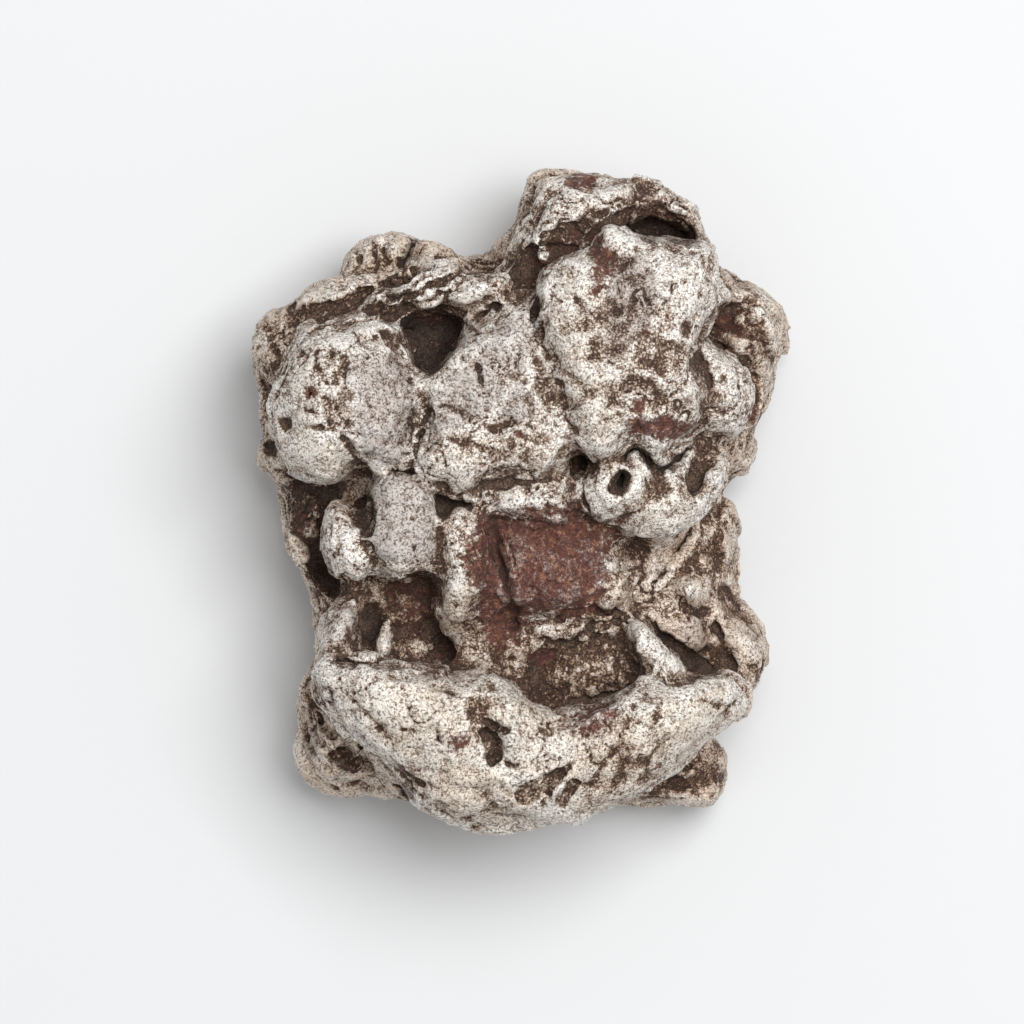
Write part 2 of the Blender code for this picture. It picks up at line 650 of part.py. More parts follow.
def flatten_underside(body):
    """Cut the underside off flat at height zero, which is the face that the mass lies on."""
    mesh = bmesh.new()
    mesh.from_mesh(body.data)
    everything = mesh.verts[:] + mesh.edges[:] + mesh.faces[:]
    cut = bmesh.ops.bisect_plane(
        mesh, geom=everything, plane_co=(0, 0, 0), plane_no=(0, 0, 1), clear_inner=True
    )
    rim = [item for item in cut["geom_cut"] if isinstance(item, bmesh.types.BMEdge)]
    bmesh.ops.holes_fill(mesh, edges=rim, sides=0)
    bmesh.ops.triangulate(mesh, faces=[face for face in mesh.faces if len(face.verts) > 4])
    mesh.to_mesh(body.data)
    mesh.free()


def fit_to_size(body):
    """Stretch the mass to its driving dimensions and set its footprint's middle at the origin."""
    corners = np.array([vert.co for vert in body.data.vertices])
    low, high = corners.min(axis=0), corners.max(axis=0)
    wanted = np.array([WIDTH, LENGTH, HEIGHT]) * MM
    stretch = wanted / (high - low)
    middle = (low + high) / 2.0
    middle[2] = low[2]
    for vert in body.data.vertices:
        vert.co = Vector((np.array(vert.co) - middle) * stretch)


def metal_material():
    """Return the pale, dull metal of the cleaned surface."""
    metal = bpy.data.materials.new("cleaned_metal")
    metal.use_nodes = True
    shader = metal.node_tree.nodes["Principled BSDF"]
    shader.inputs["Base Color"].default_value = METAL_COLOUR
    shader.inputs["Roughness"].default_value = METAL_ROUGHNESS
    shader.inputs["Metallic"].default_value = METAL_METALLIC
    metal.diffuse_color = METAL_COLOUR
    return metal


def main():
    """Build the meteorite."""
    clear_scene()
    body = stones_object(NAME, STONES)
    add_remesh(body, ROUGH_VOXEL)
    settle(body)
    cut_hollows(body)
    add_remesh(body, VOXEL)
    soften(body, 0.5, 6)
    settle(body)
    weather(body)
    thin_out(body)
    flatten_underside(body)
    fit_to_size(body)
    body.data.materials.append(metal_material())
    body.data.shade_smooth()


main()
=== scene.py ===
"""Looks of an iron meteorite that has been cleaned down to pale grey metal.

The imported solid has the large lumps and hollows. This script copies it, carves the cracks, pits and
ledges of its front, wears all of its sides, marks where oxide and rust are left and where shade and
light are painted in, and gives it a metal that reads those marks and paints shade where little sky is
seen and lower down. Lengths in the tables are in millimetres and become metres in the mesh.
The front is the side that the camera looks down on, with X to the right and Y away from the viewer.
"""

import logging
import math
from dataclasses import dataclass
from enum import Enum

import bmesh
import bpy
import numpy as np
from mathutils import Matrix, Vector, noise
from mathutils.bvhtree import BVHTree


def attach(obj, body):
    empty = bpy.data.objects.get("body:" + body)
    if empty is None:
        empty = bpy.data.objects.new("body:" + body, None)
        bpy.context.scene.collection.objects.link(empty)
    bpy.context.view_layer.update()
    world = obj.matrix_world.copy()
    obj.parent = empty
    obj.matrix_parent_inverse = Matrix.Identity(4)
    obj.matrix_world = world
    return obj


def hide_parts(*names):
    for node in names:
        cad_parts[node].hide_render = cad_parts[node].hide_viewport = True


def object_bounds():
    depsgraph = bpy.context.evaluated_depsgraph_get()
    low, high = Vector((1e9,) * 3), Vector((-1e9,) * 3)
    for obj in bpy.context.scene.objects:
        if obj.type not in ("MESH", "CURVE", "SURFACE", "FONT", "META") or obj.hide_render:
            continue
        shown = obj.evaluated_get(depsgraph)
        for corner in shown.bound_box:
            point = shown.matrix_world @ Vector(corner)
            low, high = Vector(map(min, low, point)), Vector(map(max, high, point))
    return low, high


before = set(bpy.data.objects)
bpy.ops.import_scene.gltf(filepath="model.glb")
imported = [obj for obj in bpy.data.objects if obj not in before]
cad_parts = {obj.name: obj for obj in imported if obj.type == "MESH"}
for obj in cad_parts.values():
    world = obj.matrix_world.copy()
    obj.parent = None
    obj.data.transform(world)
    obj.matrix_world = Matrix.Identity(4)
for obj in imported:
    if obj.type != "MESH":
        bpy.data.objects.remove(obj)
cad_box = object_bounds()

LOG = logging.getLogger("meteorite")

MM = 0.001

# The skin's fineness rounds off what is cut into it, so cuts are made this much deeper and lines wider
DEEPENING = 1.5
WIDENING = 1.35

# A line is this share of its width at both tips, and widens over this share of its length
TIP_WIDTH = 0.35
TIP_LENGTH = 0.18

# How far out a mark's tints begin and where they are full, counted as a mark's spread is
WASH = (1.45, 0.55)

# How fast layered noise gets finer, and what turns a seed's place into a steady number
FINER = 2.1
SEED_MIX = (12.9898, 78.233, 37.719)

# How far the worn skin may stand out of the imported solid's box
BOX_MARGIN = 0.5

# The camera's distance above the level at which the front's places are given, and where it points
EYE_HEIGHT = 853.0
DATUM = 25.0
AIM = (-1.0, -1.3)

Point = tuple[float, float]
Outline = tuple[Point, ...]
Colour = tuple[float, float, float, float]
Weights = tuple[tuple[str, float], ...]
Socket = bpy.types.NodeSocket
Value = Socket | float | tuple
Inputs = dict[str | int, Value]


class Tint(Enum):
    """What a mark can leave on the metal, and the shade and light that a mark can paint in. Each is a
    painted layer that the finish reads.
    """

    RUST = "rust"
    BROWN = "brown"
    # Painted shade: blackens deep holes, cracks and corners that lie in shadow
    DARK = "dark"
    COOL = "cool"
    WARM = "warm"
    SPECKLE = "speckle"
    # Cleaner metal on ridges and grains, and painted light where marks brighten slopes that face away from
    # the lamp
    CLEAN_AND_LIT = "clean"


def ease(low: float, high: float, values: np.ndarray) -> np.ndarray:
    """Return a smooth step.

    Args:
        low: The value at and below which the step is 0, or 1 where low is above high.
        high: The value at which the step has ended.
        values: What to step.

    Returns:
        Numbers from 0 to 1.
    """
    part = np.clip((values - low) / (high - low), 0.0, 1.0)
    return part * part * (3.0 - 2.0 * part)


def smooth_line(points: Outline, closed: bool, steps: int = 6) -> np.ndarray:
    """Return a Catmull-Rom curve through some points.

    Args:
        points: The points to pass through.
        closed: Whether the curve runs back to its start.
        steps: How many stretches to draw between two points.

    Returns:
        The curve's points, with the first one repeated at the end of a closed curve.
    """
    knots = np.array(points, dtype=float)
    if closed:
        knots = np.vstack([knots[-1], knots, knots[:2]])
    else:
        knots = np.vstack([2.0 * knots[0] - knots[1], knots, 2.0 * knots[-1] - knots[-2]])
    drawn = []
    part = (np.arange(steps) / steps)[:, None]
    for before, here, ahead, beyond in zip(knots, knots[1:], knots[2:], knots[3:]):
        drawn.append(
            0.5
            * (
                2.0 * here
                + (ahead - before) * part
                + (2.0 * before - 5.0 * here + 4.0 * ahead - beyond) * part**2
                + (3.0 * here - before - 3.0 * ahead + beyond) * part**3
            )
        )
    drawn.append(knots[-2][None, :])
    return np.vstack(drawn)


def nearest_on_line(places: np.ndarray, line: np.ndarray) -> tuple[np.ndarray, np.ndarray]:
    """Return how far places lie from a line.

    Args:
        places: The places, one in each row.
        line: The line's points.

    Returns:
        Each place's distance, and how far along the line its nearest point is, from 0 to 1.
    """
    best = np.full(len(places), np.inf)
    along = np.zeros(len(places))
    spans = line[1:] - line[:-1]
    for index, span in enumerate(spans):
        gap = places - line[index]
        part = np.clip(gap @ span / max(span @ span, 1e-9), 0.0, 1.0)
        miss = gap - part[:, None] * span
        distance = np.hypot(miss[:, 0], miss[:, 1])
        closer = distance < best
        best[closer] = distance[closer]
        along[closer] = (index + part[closer]) / len(spans)
    return best, along


def is_inside(places: np.ndarray, line: np.ndarray) -> np.ndarray:
    """Return which places lie inside a closed line.

    Args:
        places: The places, one in each row.
        line: The line's points, with the first one repeated at the end.

    Returns:
        One truth value for each place.
    """
    inside = np.zeros(len(places), dtype=bool)
    for (ax, ay), (bx, by) in zip(line, line[1:]):
        if ay == by:
            continue
        crossed = (places[:, 1] < ay) != (places[:, 1] < by)
        reach = ax + (places[:, 1] - ay) / (by - ay) * (bx - ax)
        inside ^= crossed & (places[:, 0] < reach)
    return inside


@dataclass(frozen=True, kw_only=True)
class Mark:
    """What every mark on the front has in common.

    relief is how far it stands up in mm, or is dug in where it is negative, and steep is the share of
    the way out from its middle that keeps the full relief. Each other value is how strongly the mark
    leaves the tint of that name. dark is painted shade in holes, cracks and shadowed corners, and the
    tint of cleaner metal on ridges and grains is also painted light on slopes that face away from the lamp.
    """

    relief: float = 0.0
    steep: float = 0.4
    rust: float = 0.0
    brown: float = 0.0
    # How strongly the mark paints in shade
    dark: float = 0.0
    cool: float = 0.0
    warm: float = 0.0
    speckle: float = 0.0
    # Cleaner metal on ridges and grains, and painted light on patches that brighten slopes away from the
    # lamp
    clean: float = 0.0

    def corners(self) -> tuple[np.ndarray, np.ndarray]:
        """Return the lowest and highest place that the mark can reach."""
        raise NotImplementedError

    def spread(self, places: np.ndarray) -> np.ndarray:
        """Return how far out each place is: 0 in the middle of the mark and 1 at its edge."""
        raise NotImplementedError

    def near(self, places: np.ndarray) -> np.ndarray:
        """Return which places the mark can reach, by their numbers."""
        low, high = self.corners()
        return np.flatnonzero(((places >= low) & (places <= high)).all(axis=1))

    def bowl(self, places: np.ndarray) -> np.ndarray:
        """Return the share of the mark's relief at each place."""
        return ease(1.0, self.steep, self.spread(places))

    def wash(self, places: np.ndarray) -> np.ndarray:
        """Return the share of the mark's tints at each place, which run out a little further."""
        return ease(*WASH, self.spread(places))


@dataclass(frozen=True)
class Line(Mark):
    """A crack, groove or ridge that runs through points and narrows at both ends."""

    points: Outline
    width: float

    def corners(self) -> tuple[np.ndarray, np.ndarray]:
        """Return the corners of the line's surroundings.

        Returns:
            The lowest and highest place that it can reach.
        """
        knots = np.array(self.points)
        margin = self.width + 0.5
        return knots.min(axis=0) - margin, knots.max(axis=0) + margin

    def spread(self, places: np.ndarray) -> np.ndarray:
        """Return how far out from the line each place is.

        Args:
            places: The places, one in each row.

        Returns:
            0 on the line and 1 at its edge, for each place.
        """
        distance, along = nearest_on_line(places, smooth_line(self.points, False))
        end = np.minimum(along, 1.0 - along)
        narrowing = TIP_WIDTH + (1.0 - TIP_WIDTH) * ease(0.0, TIP_LENGTH, end)
        return distance / (0.5 * WIDENING * self.width * narrowing)


@dataclass(frozen=True)
class Spot(Mark):
    """A round or oval pit, knob or stain. turn is in degrees, anticlockwise."""

    place: Point
    radii: Point
    turn: float = 0.0

    def corners(self) -> tuple[np.ndarray, np.ndarray]:
        """Return the lowest and highest place that the spot can reach."""
        reach = 1.5 * max(self.radii)
        return np.array(self.place) - reach, np.array(self.place) + reach

    def spread(self, places: np.ndarray) -> np.ndarray:
        """Return how far out from the spot's middle each place is.

        Args:
            places: The places, one in each row.

        Returns:
            0 in the middle and 1 at the edge, for each place.
        """
        gap = places - np.array(self.place)
        turn = math.radians(self.turn)
        across = gap[:, 0] * math.cos(turn) + gap[:, 1] * math.sin(turn)
        up = gap[:, 1] * math.cos(turn) - gap[:, 0] * math.sin(turn)
        return np.hypot(across / self.radii[0], up / self.radii[1])


@dataclass(frozen=True)
class Patch(Mark):
    """An area inside an outline. edge is the width over which it begins."""

    outline: Outline
    edge: float = 0.7

    def corners(self) -> tuple[np.ndarray, np.ndarray]:
        """Return the lowest and highest place that the patch can reach."""
        knots = np.array(self.outline)
        return knots.min(axis=0) - self.edge, knots.max(axis=0) + self.edge

    def spread(self, places: np.ndarray) -> np.ndarray:
        """Return how far out each place is.

        Args:
            places: The places, one in each row.

        Returns:
            1 on the outline, less inside it and more outside it, for each place.
        """
        line = smooth_line(self.outline, True)
        distance, _ = nearest_on_line(places, line)
        return 1.0 + np.where(is_inside(places, line), -distance, distance) / self.edge


CROWN = (
    Line(((1.4, 20.3), (1.4, 19.0), (1.5, 17.0), (1.6, 15.6)), 0.8, relief=-1.6, dark=0.9, brown=1.0),
    Line(((1.8, 15.7), (2.8, 13.9), (3.6, 12.8)), 0.4, relief=-0.7, brown=0.9, dark=0.3),
    Line(((3.6, 12.9), (3.9, 10.5), (4.8, 8.0), (5.8, 6.0)), 0.35, relief=-0.35, brown=0.6),
    Spot((3.3, 20.4), (0.4, 0.35), relief=-0.5, rust=0.8),
    Spot((3.8, 19.8), (0.35, 0.35), relief=-0.5, rust=0.8),
    Spot((2.3, 17.4), (0.4, 0.45), relief=-0.4, brown=0.9),
    Spot((7.8, 21.0), (0.35, 0.3), relief=-0.3, brown=0.7),
    Spot((9.4, 18.7), (0.6, 0.6), relief=-0.4, brown=0.9),
    Spot((14.4, 19.1), (0.45, 0.9), relief=-0.1, brown=0.5, rust=0.3),
    Spot((12.3, 16.4), (0.5, 0.4), relief=-0.2, rust=0.8),
    Spot((16.3, 16.7), (0.7, 1.3), relief=-0.3, brown=0.8),
    Patch(((12.2, 16.3), (15.5, 15.5), (17.6, 12.5), (17.8, 8.0), (15.0, 7.2), (12.6, 9.0),
           (11.6, 12.5)), 1.6, speckle=1.3),
    Patch(((9.0, 24.2), (12.4, 24.2), (13.6, 20.5), (12.4, 16.8), (9.6, 17.2), (8.8, 20.5)), 1.3,
          cool=1.0),
    Line(((10.8, 23.6), (10.4, 20.6), (10.0, 17.4), (9.4, 14.4)), 2.6, brown=0.6, cool=0.8),
    Spot((13.9, 7.1), (3.3, 1.0), -4.0, relief=-0.15, rust=1.3),
    Spot((11.6, 9.2), (0.7, 0.9), relief=-0.15, rust=0.9),
    Spot((14.3, 8.3), (0.7, 0.4), relief=-0.15, rust=0.9),
    Patch(((3.0, 19.0), (6.0, 21.5), (8.4, 20.0), (8.0, 14.0), (9.5, 8.5), (7.5, 5.5), (5.6, 8.5),
           (4.0, 13.5)), 1.2, speckle=0.45, warm=0.4),
    Line(((9.8, 4.1), (11.4, 5.2), (12.4, 4.2), (13.3, 3.1), (14.0, 3.1), (15.6, 3.9), (16.8, 5.1)), 1.0,
         relief=-1.8, dark=0.8, brown=1.0),
    Line(((12.3, 2.1), (12.8, 0.9), (11.8, -0.6), (9.8, -1.9), (9.3, -3.6)), 0.45, relief=-0.8,
         brown=0.9, dark=0.3),
    Line(((18.0, 16.8), (18.0, 15.0), (18.1, 13.4)), 0.6, relief=-1.3, brown=0.9, dark=0.5),
    Patch(((16.8, 13.7), (17.8, 14.7), (18.8, 14.0), (19.3, 12.2), (18.9, 10.4), (17.9, 12.4)), 0.8,
          relief=-0.7, brown=1.0, dark=0.45),
    Spot((20.1, 12.1), (0.4, 0.4), relief=-0.4, brown=0.9),
    Line(((18.8, 22.0), (19.2, 19.8), (18.6, 17.6), (17.8, 15.2)), 0.4, relief=-0.6, brown=0.7),
)

ARCH = (
    Spot((6.0, 31.9), (1.9, 1.0), relief=-0.3, rust=0.9, brown=0.4),
    Spot((2.5, 30.6), (0.9, 0.6), relief=-0.3, brown=0.9),
    Spot((3.6, 28.4), (2.8, 1.5), brown=0.4, speckle=0.6),
    Spot((12.6, 31.0), (2.6, 0.9), -14.0, brown=0.5, speckle=0.5),
    Patch(((2.1, 30.2), (5.0, 30.9), (8.0, 30.2), (7.6, 28.0), (4.8, 27.2), (2.4, 27.0)), 1.0, clean=0.4,
          speckle=0.4),
    Line(((6.3, 26.6), (7.8, 27.8), (9.8, 28.8), (12.3, 29.6), (13.8, 29.9), (15.2, 29.2),
          (17.0, 28.4)), 0.7, relief=0.5, clean=0.3),
    Patch(((10.0, 27.4), (11.8, 25.9), (13.8, 25.3), (17.8, 25.2), (18.3, 26.4), (17.8, 27.4),
           (13.8, 27.9), (11.8, 28.4)), 0.8, dark=1.0, brown=0.9),
    Line(((5.2, 26.6), (8.4, 28.2), (11.4, 29.4), (14.4, 29.0), (17.4, 27.6)), 2.0, brown=1.3, rust=0.3),
    Line(((0.4, 21.4), (1.8, 23.8), (4.2, 25.2), (6.6, 26.4)), 1.8, brown=1.3, rust=0.45),
    Line(((2.0, 23.8), (3.6, 24.6), (5.4, 24.9)), 0.9, relief=-0.9, brown=1.0, dark=0.5),
    Line(((7.4, 26.2), (8.2, 24.6), (8.0, 22.8), (7.0, 20.6)), 2.0, brown=1.1, rust=0.6),
    Spot((3.5, 22.6), (1.6, 1.0), brown=0.6),
    Spot((0.4, 22.8), (1.2, 2.2), brown=0.4),
    Patch(((6.4, 29.8), (10.0, 30.2), (13.0, 29.6), (10.6, 28.4), (7.8, 27.6)), 0.9, brown=0.8),
    Patch(((17.4, 26.4), (19.4, 25.6), (20.0, 23.6), (18.2, 22.4), (17.6, 24.6)), 0.9, brown=0.9),
    Line(((-0.2, 27.6), (0.6, 29.4), (1.6, 31.2)), 0.8, brown=0.5, speckle=0.6),
    Line(((8.2, 31.6), (10.4, 31.2), (12.6, 30.4)), 0.35, relief=-0.35, brown=0.7),
    Line(((1.6, 26.0), (4.4, 27.0), (6.4, 26.6)), 0.5, relief=-0.5, brown=0.8),
    Spot((18.8, 27.6), (0.8, 1.4), 35.0, brown=0.5),
    Spot((11.4, 32.0), (2.8, 0.7), -12.0, speckle=0.8, brown=0.3),
)

BOSS = (
    Line(((-16.9, 16.9), (-14.5, 17.3), (-12.2, 17.1)), 1.0, relief=0.45, clean=0.6),
    Line(((-16.5, 16.2), (-14.3, 16.0), (-12.0, 16.0)), 0.4, relief=-0.6, brown=1.0),
    Line(((-16.2, 15.2), (-14.2, 15.0), (-12.5, 14.9)), 0.8, relief=0.3, clean=0.4),
    Patch(((-14.2, 16.9), (-11.0, 16.7), (-10.8, 15.0), (-13.5, 15.1)), 0.6, relief=-0.7, brown=0.9),
    Line(((-20.2, 14.9), (-20.2, 14.0)), 0.5, relief=-1.0, brown=1.0, dark=0.6),
    Spot((-20.4, 13.3), (0.5, 0.6), relief=-1.0, brown=1.0, dark=0.5),
    Spot((-21.1, 10.6), (0.9, 0.5), relief=-0.8, rust=0.8, brown=0.6),
    Line(((-21.9, 9.1), (-20.6, 8.3)), 0.5, relief=-0.7, brown=1.0, dark=0.3),
    Spot((-23.6, 7.5), (0.6, 0.9), 20.0, relief=-0.8, brown=1.0),
    Line(((-19.7, 8.2), (-18.7, 6.7)), 0.35, relief=-0.5, brown=0.9),
    Line(((-17.6, 14.3), (-17.4, 11.9), (-17.1, 9.7)), 0.5, relief=-0.2, brown=0.75),
    Line(((-15.7, 11.6), (-15.3, 9.6), (-15.1, 7.9)), 0.6, relief=-0.15, brown=0.6),
    Line(((-18.6, 13.2), (-18.3, 11.0)), 0.35, relief=-0.15, brown=0.5),
    Patch(((-21.8, 14.6), (-18.6, 15.0), (-17.0, 13.6), (-17.2, 8.0), (-19.2, 7.4), (-21.6, 9.8)), 1.0,
          brown=0.3, speckle=0.6),
    # Painted light: brightens the lower left of the boss, whose slopes face away from the lamp
    Patch(((-17.6, 3.6), (-14.6, 3.8), (-14.4, 1.2), (-17.2, 0.8)), 0.8, clean=1.0),
    Line(((-22.0, 7.6), (-18.7, 6.4), (-17.0, 4.9), (-16.0, 3.7), (-15.2, 2.1)), 0.5, relief=-0.7,
         brown=0.8),
    # Painted light on the boss's lower left lobe, whose slopes face away from the lamp, with a warm tint
    Patch(((-22.4, 7.0), (-18.6, 5.8), (-16.9, 4.2), (-16.9, 2.2), (-19.5, 1.4), (-22.4, 2.6)), 0.9,
          warm=0.5, clean=1.2),
    Patch(((-17.2, 14.0), (-13.0, 14.5), (-10.8, 12.0), (-10.6, 7.0), (-12.0, 3.6), (-14.4, 3.4),
           (-16.4, 6.6)), 1.0, cool=0.8, clean=0.3),
    Line(((-9.1, 8.4), (-10.1, 7.4), (-10.4, 5.4), (-11.0, 4.0)), 0.5, relief=-1.3, brown=1.0, dark=0.7),
    Patch(((-13.7, 2.7), (-13.0, 3.3), (-11.7, 3.4), (-11.0, 4.1), (-10.4, 2.1), (-11.7, 1.9)), 0.4,
          relief=-1.3, brown=1.0, dark=0.4),
    Line(((-24.6, 9.6), (-23.2, 12.6), (-22.0, 15.2)), 0.5, relief=-0.5, brown=0.7),
    Line(((-22.6, 16.0), (-20.0, 17.2), (-17.6, 17.5), (-15.4, 17.7)), 0.6, relief=-0.9, brown=0.9,
         dark=0.3),
    Spot((-19.4, 16.0), (2.2, 1.0), 12.0, clean=0.4),
    Line(((-23.8, 3.1), (-22.2, 2.9), (-20.4, 2.2), (-18.7, 1.5), (-17.6, 1.3)), 0.6, relief=-0.6,
         brown=0.9, dark=0.3),
)

DEEP_HOLE = (
    Patch(((-12.0, 17.7), (-10.2, 18.1), (-7.7, 17.9), (-6.4, 17.4), (-6.1, 16.4), (-6.7, 14.9),
           (-7.7, 13.4), (-9.0, 12.3), (-10.0, 12.4), (-11.0, 13.9), (-11.7, 15.4)), 0.8, dark=1.0,
          brown=1.0),
    Spot((-10.0, 18.2), (2.2, 0.7), 8.0, brown=0.6, rust=0.35),
    Spot((-5.8, 16.8), (0.45, 0.4), relief=0.6, clean=0.8),
    Line(((-5.4, 18.0), (-3.4, 18.6), (-2.0, 19.5)), 0.6, relief=-1.2, brown=1.0, dark=0.6),
)

MIDDLE_PLATE = (
    Line(((-4.5, 13.6), (-4.3, 12.4), (-4.2, 11.3)), 0.5, relief=-0.8, brown=1.0, dark=0.5),
    Spot((-0.4, 9.1), (1.9, 2.0), cool=1.0, brown=0.4, speckle=0.4),
    Spot((2.8, 1.2), (2.6, 1.0), brown=0.7, rust=0.3),
    Spot((-0.4, 6.2), (0.55, 0.5), relief=-0.2, rust=0.9),
    Line(((-8.2, 9.6), (-5.5, 8.2), (-3.4, 7.4), (-1.2, 7.5)), 0.35, relief=-0.35, brown=0.6),
    Line(((-7.4, 6.2), (-4.8, 5.4), (-2.6, 4.2)), 0.35, relief=-0.35, brown=0.6),
    Line(((-6.2, 11.0), (-5.4, 9.4), (-5.4, 8.2)), 0.3, relief=-0.25, brown=0.5),
    Patch(((-9.6, 9.8), (-5.4, 13.6), (-3.0, 16.8), (0.6, 18.6), (1.0, 14.6), (-1.8, 11.0), (-4.4, 8.0),
           (-8.4, 7.0)), 1.2, cool=0.8, clean=0.3),
    Patch(((-8.8, 5.6), (-3.6, 6.0), (2.0, 6.6), (4.6, 4.0), (1.0, 1.2), (-5.0, 0.6), (-8.8, 1.4)), 1.0,
          speckle=0.6, warm=0.3),
    Spot((6.6, 4.1), (1.3, 1.9), relief=-0.3, brown=0.7),
    Spot((5.2, -0.1), (1.0, 2.1), relief=-0.3, brown=0.6, rust=0.3),
    Line(((-9.4, 2.2), (-6.6, 0.6), (-3.6, 1.4), (0.4, 1.6), (4.6, 2.2)), 0.5, relief=-0.5, brown=0.8),
    Line(((-10.2, 11.0), (-9.6, 9.4), (-9.0, 8.2)), 0.4, relief=-0.7, brown=0.8),
)

UPPER_BAND = (
    Line(((-24.0, 19.3), (-22.2, 20.2), (-18.7, 21.5), (-14.7, 22.4), (-11.2, 23.1), (-9.2, 24.1),
          (-7.5, 24.3), (-6.0, 24.0)), 0.9, relief=0.45, clean=0.5),
    Patch(((-23.7, 19.2), (-22.2, 19.5), (-19.2, 19.9), (-17.7, 20.6), (-16.2, 21.3), (-14.7, 21.0),
           (-15.2, 19.9), (-17.7, 18.4), (-21.2, 17.7), (-23.0, 16.9)), 0.7, relief=-0.5, brown=1.0,
          dark=0.2),
    Line(((-14.7, 20.3), (-12.2, 21.8), (-11.2, 22.8)), 0.5, relief=-0.9, brown=1.0, dark=0.6),
    Line(((-14.6, 18.1), (-12.7, 18.4), (-11.2, 19.0)), 0.6, relief=-1.0, brown=1.0, dark=0.4),
    Line(((-7.4, 22.1), (-5.2, 23.3), (-2.2, 23.6)), 0.5, relief=-0.8, brown=0.9, dark=0.3),
    Line(((-7.8, 19.0), (-7.2, 20.8), (-5.6, 22.2), (-3.0, 22.8)), 0.5, relief=-0.8, brown=0.9),
    Spot((-2.0, 21.3), (1.9, 1.4), 15.0, relief=-0.15, brown=0.7, speckle=0.6),
    Spot((-5.6, 20.4), (1.3, 1.3), clean=0.5),
    Line(((-3.6, 19.6), (-3.2, 21.2), (-3.6, 22.4)), 0.3, relief=-0.35, brown=0.6),
)

# The grained band's lines run side by side, a little uneven: start, end, number, step between them,
# the share of the step that is left at their start, and how far they bend
GRAIN_START = (-17.0, 18.9)
GRAIN_END = (-5.6, 23.4)
GRAIN_LINES = 6
GRAIN_STEP = 0.78
GRAIN_FAN = 0.7
GRAIN_BEND = 0.35

BACK_LOBE = (
    Line(((-14.6, 26.1), (-14.5, 24.0), (-14.7, 22.4)), 0.6, relief=-0.9, brown=0.9, dark=0.3),
    Line(((-13.4, 26.1), (-13.6, 24.6), (-13.8, 23.4)), 0.5, relief=-0.7, brown=0.9, dark=0.2),
    Line(((-10.2, 26.0), (-11.2, 24.8), (-12.3, 23.2)), 1.1, relief=-1.4, brown=1.0, dark=0.9),
    Spot((-16.0, 22.9), (1.1, 0.8), brown=0.9),
    Line(((-16.9, 25.4), (-16.4, 24.0), (-16.8, 22.8)), 0.5, relief=-0.6, brown=0.8),
    Line(((-9.2, 26.2), (-9.6, 25.2), (-10.6, 24.0)), 0.4, relief=-0.6, brown=0.7),
    Line(((-7.4, 25.6), (-8.2, 24.9)), 0.4, relief=-0.5, brown=0.7),
    Line(((-18.3, 22.4), (-17.6, 24.6), (-16.0, 25.6), (-12.6, 26.2)), 0.6, relief=0.3, clean=0.4),
)

LEFT_EDGE = (
    Patch(((-27.4, 17.0), (-25.0, 18.6), (-23.2, 16.0), (-24.2, 10.0), (-25.8, 8.6), (-27.0, 12.0)), 1.2,
          brown=0.1, speckle=0.6),
    Line(((-25.8, 16.8), (-24.6, 14.6), (-25.0, 12.0), (-24.8, 9.6)), 0.5, relief=-0.4, brown=0.6),
    Spot((-25.1, 5.0), (0.9, 0.9), relief=-1.0, brown=1.0, dark=0.7),
    Patch(((-23.7, 2.9), (-22.2, 2.9), (-20.2, 1.9), (-18.2, 1.4), (-18.7, -0.1), (-19.4, -0.6),
           (-19.6, -3.1), (-19.4, -5.6), (-18.7, -8.3), (-19.6, -9.8), (-20.7, -9.1), (-21.7, -6.6),
           (-22.7, -4.6), (-23.5, -2.1), (-23.7, -0.1)), 0.8, brown=1.0, dark=0.75),
    Line(((-23.9, -2.4), (-22.2, -4.6), (-21.2, -6.3)), 0.6, relief=1.2, clean=0.8),
    Spot((-21.4, -2.8), (1.5, 1.7), relief=0.8, rust=0.6, brown=0.8),
    Line(((-21.6, 0.4), (-20.8, -0.6), (-20.9, -2.0)), 0.5, relief=1.0, brown=0.6),
    Spot((-20.2, -7.2), (1.0, 1.6), 20.0, cool=0.8, dark=0.3),
    Line(((-24.0, -0.4), (-23.9, -2.8), (-22.6, -6.8), (-20.8, -10.4)), 0.6, relief=0.2, clean=0.4),
)

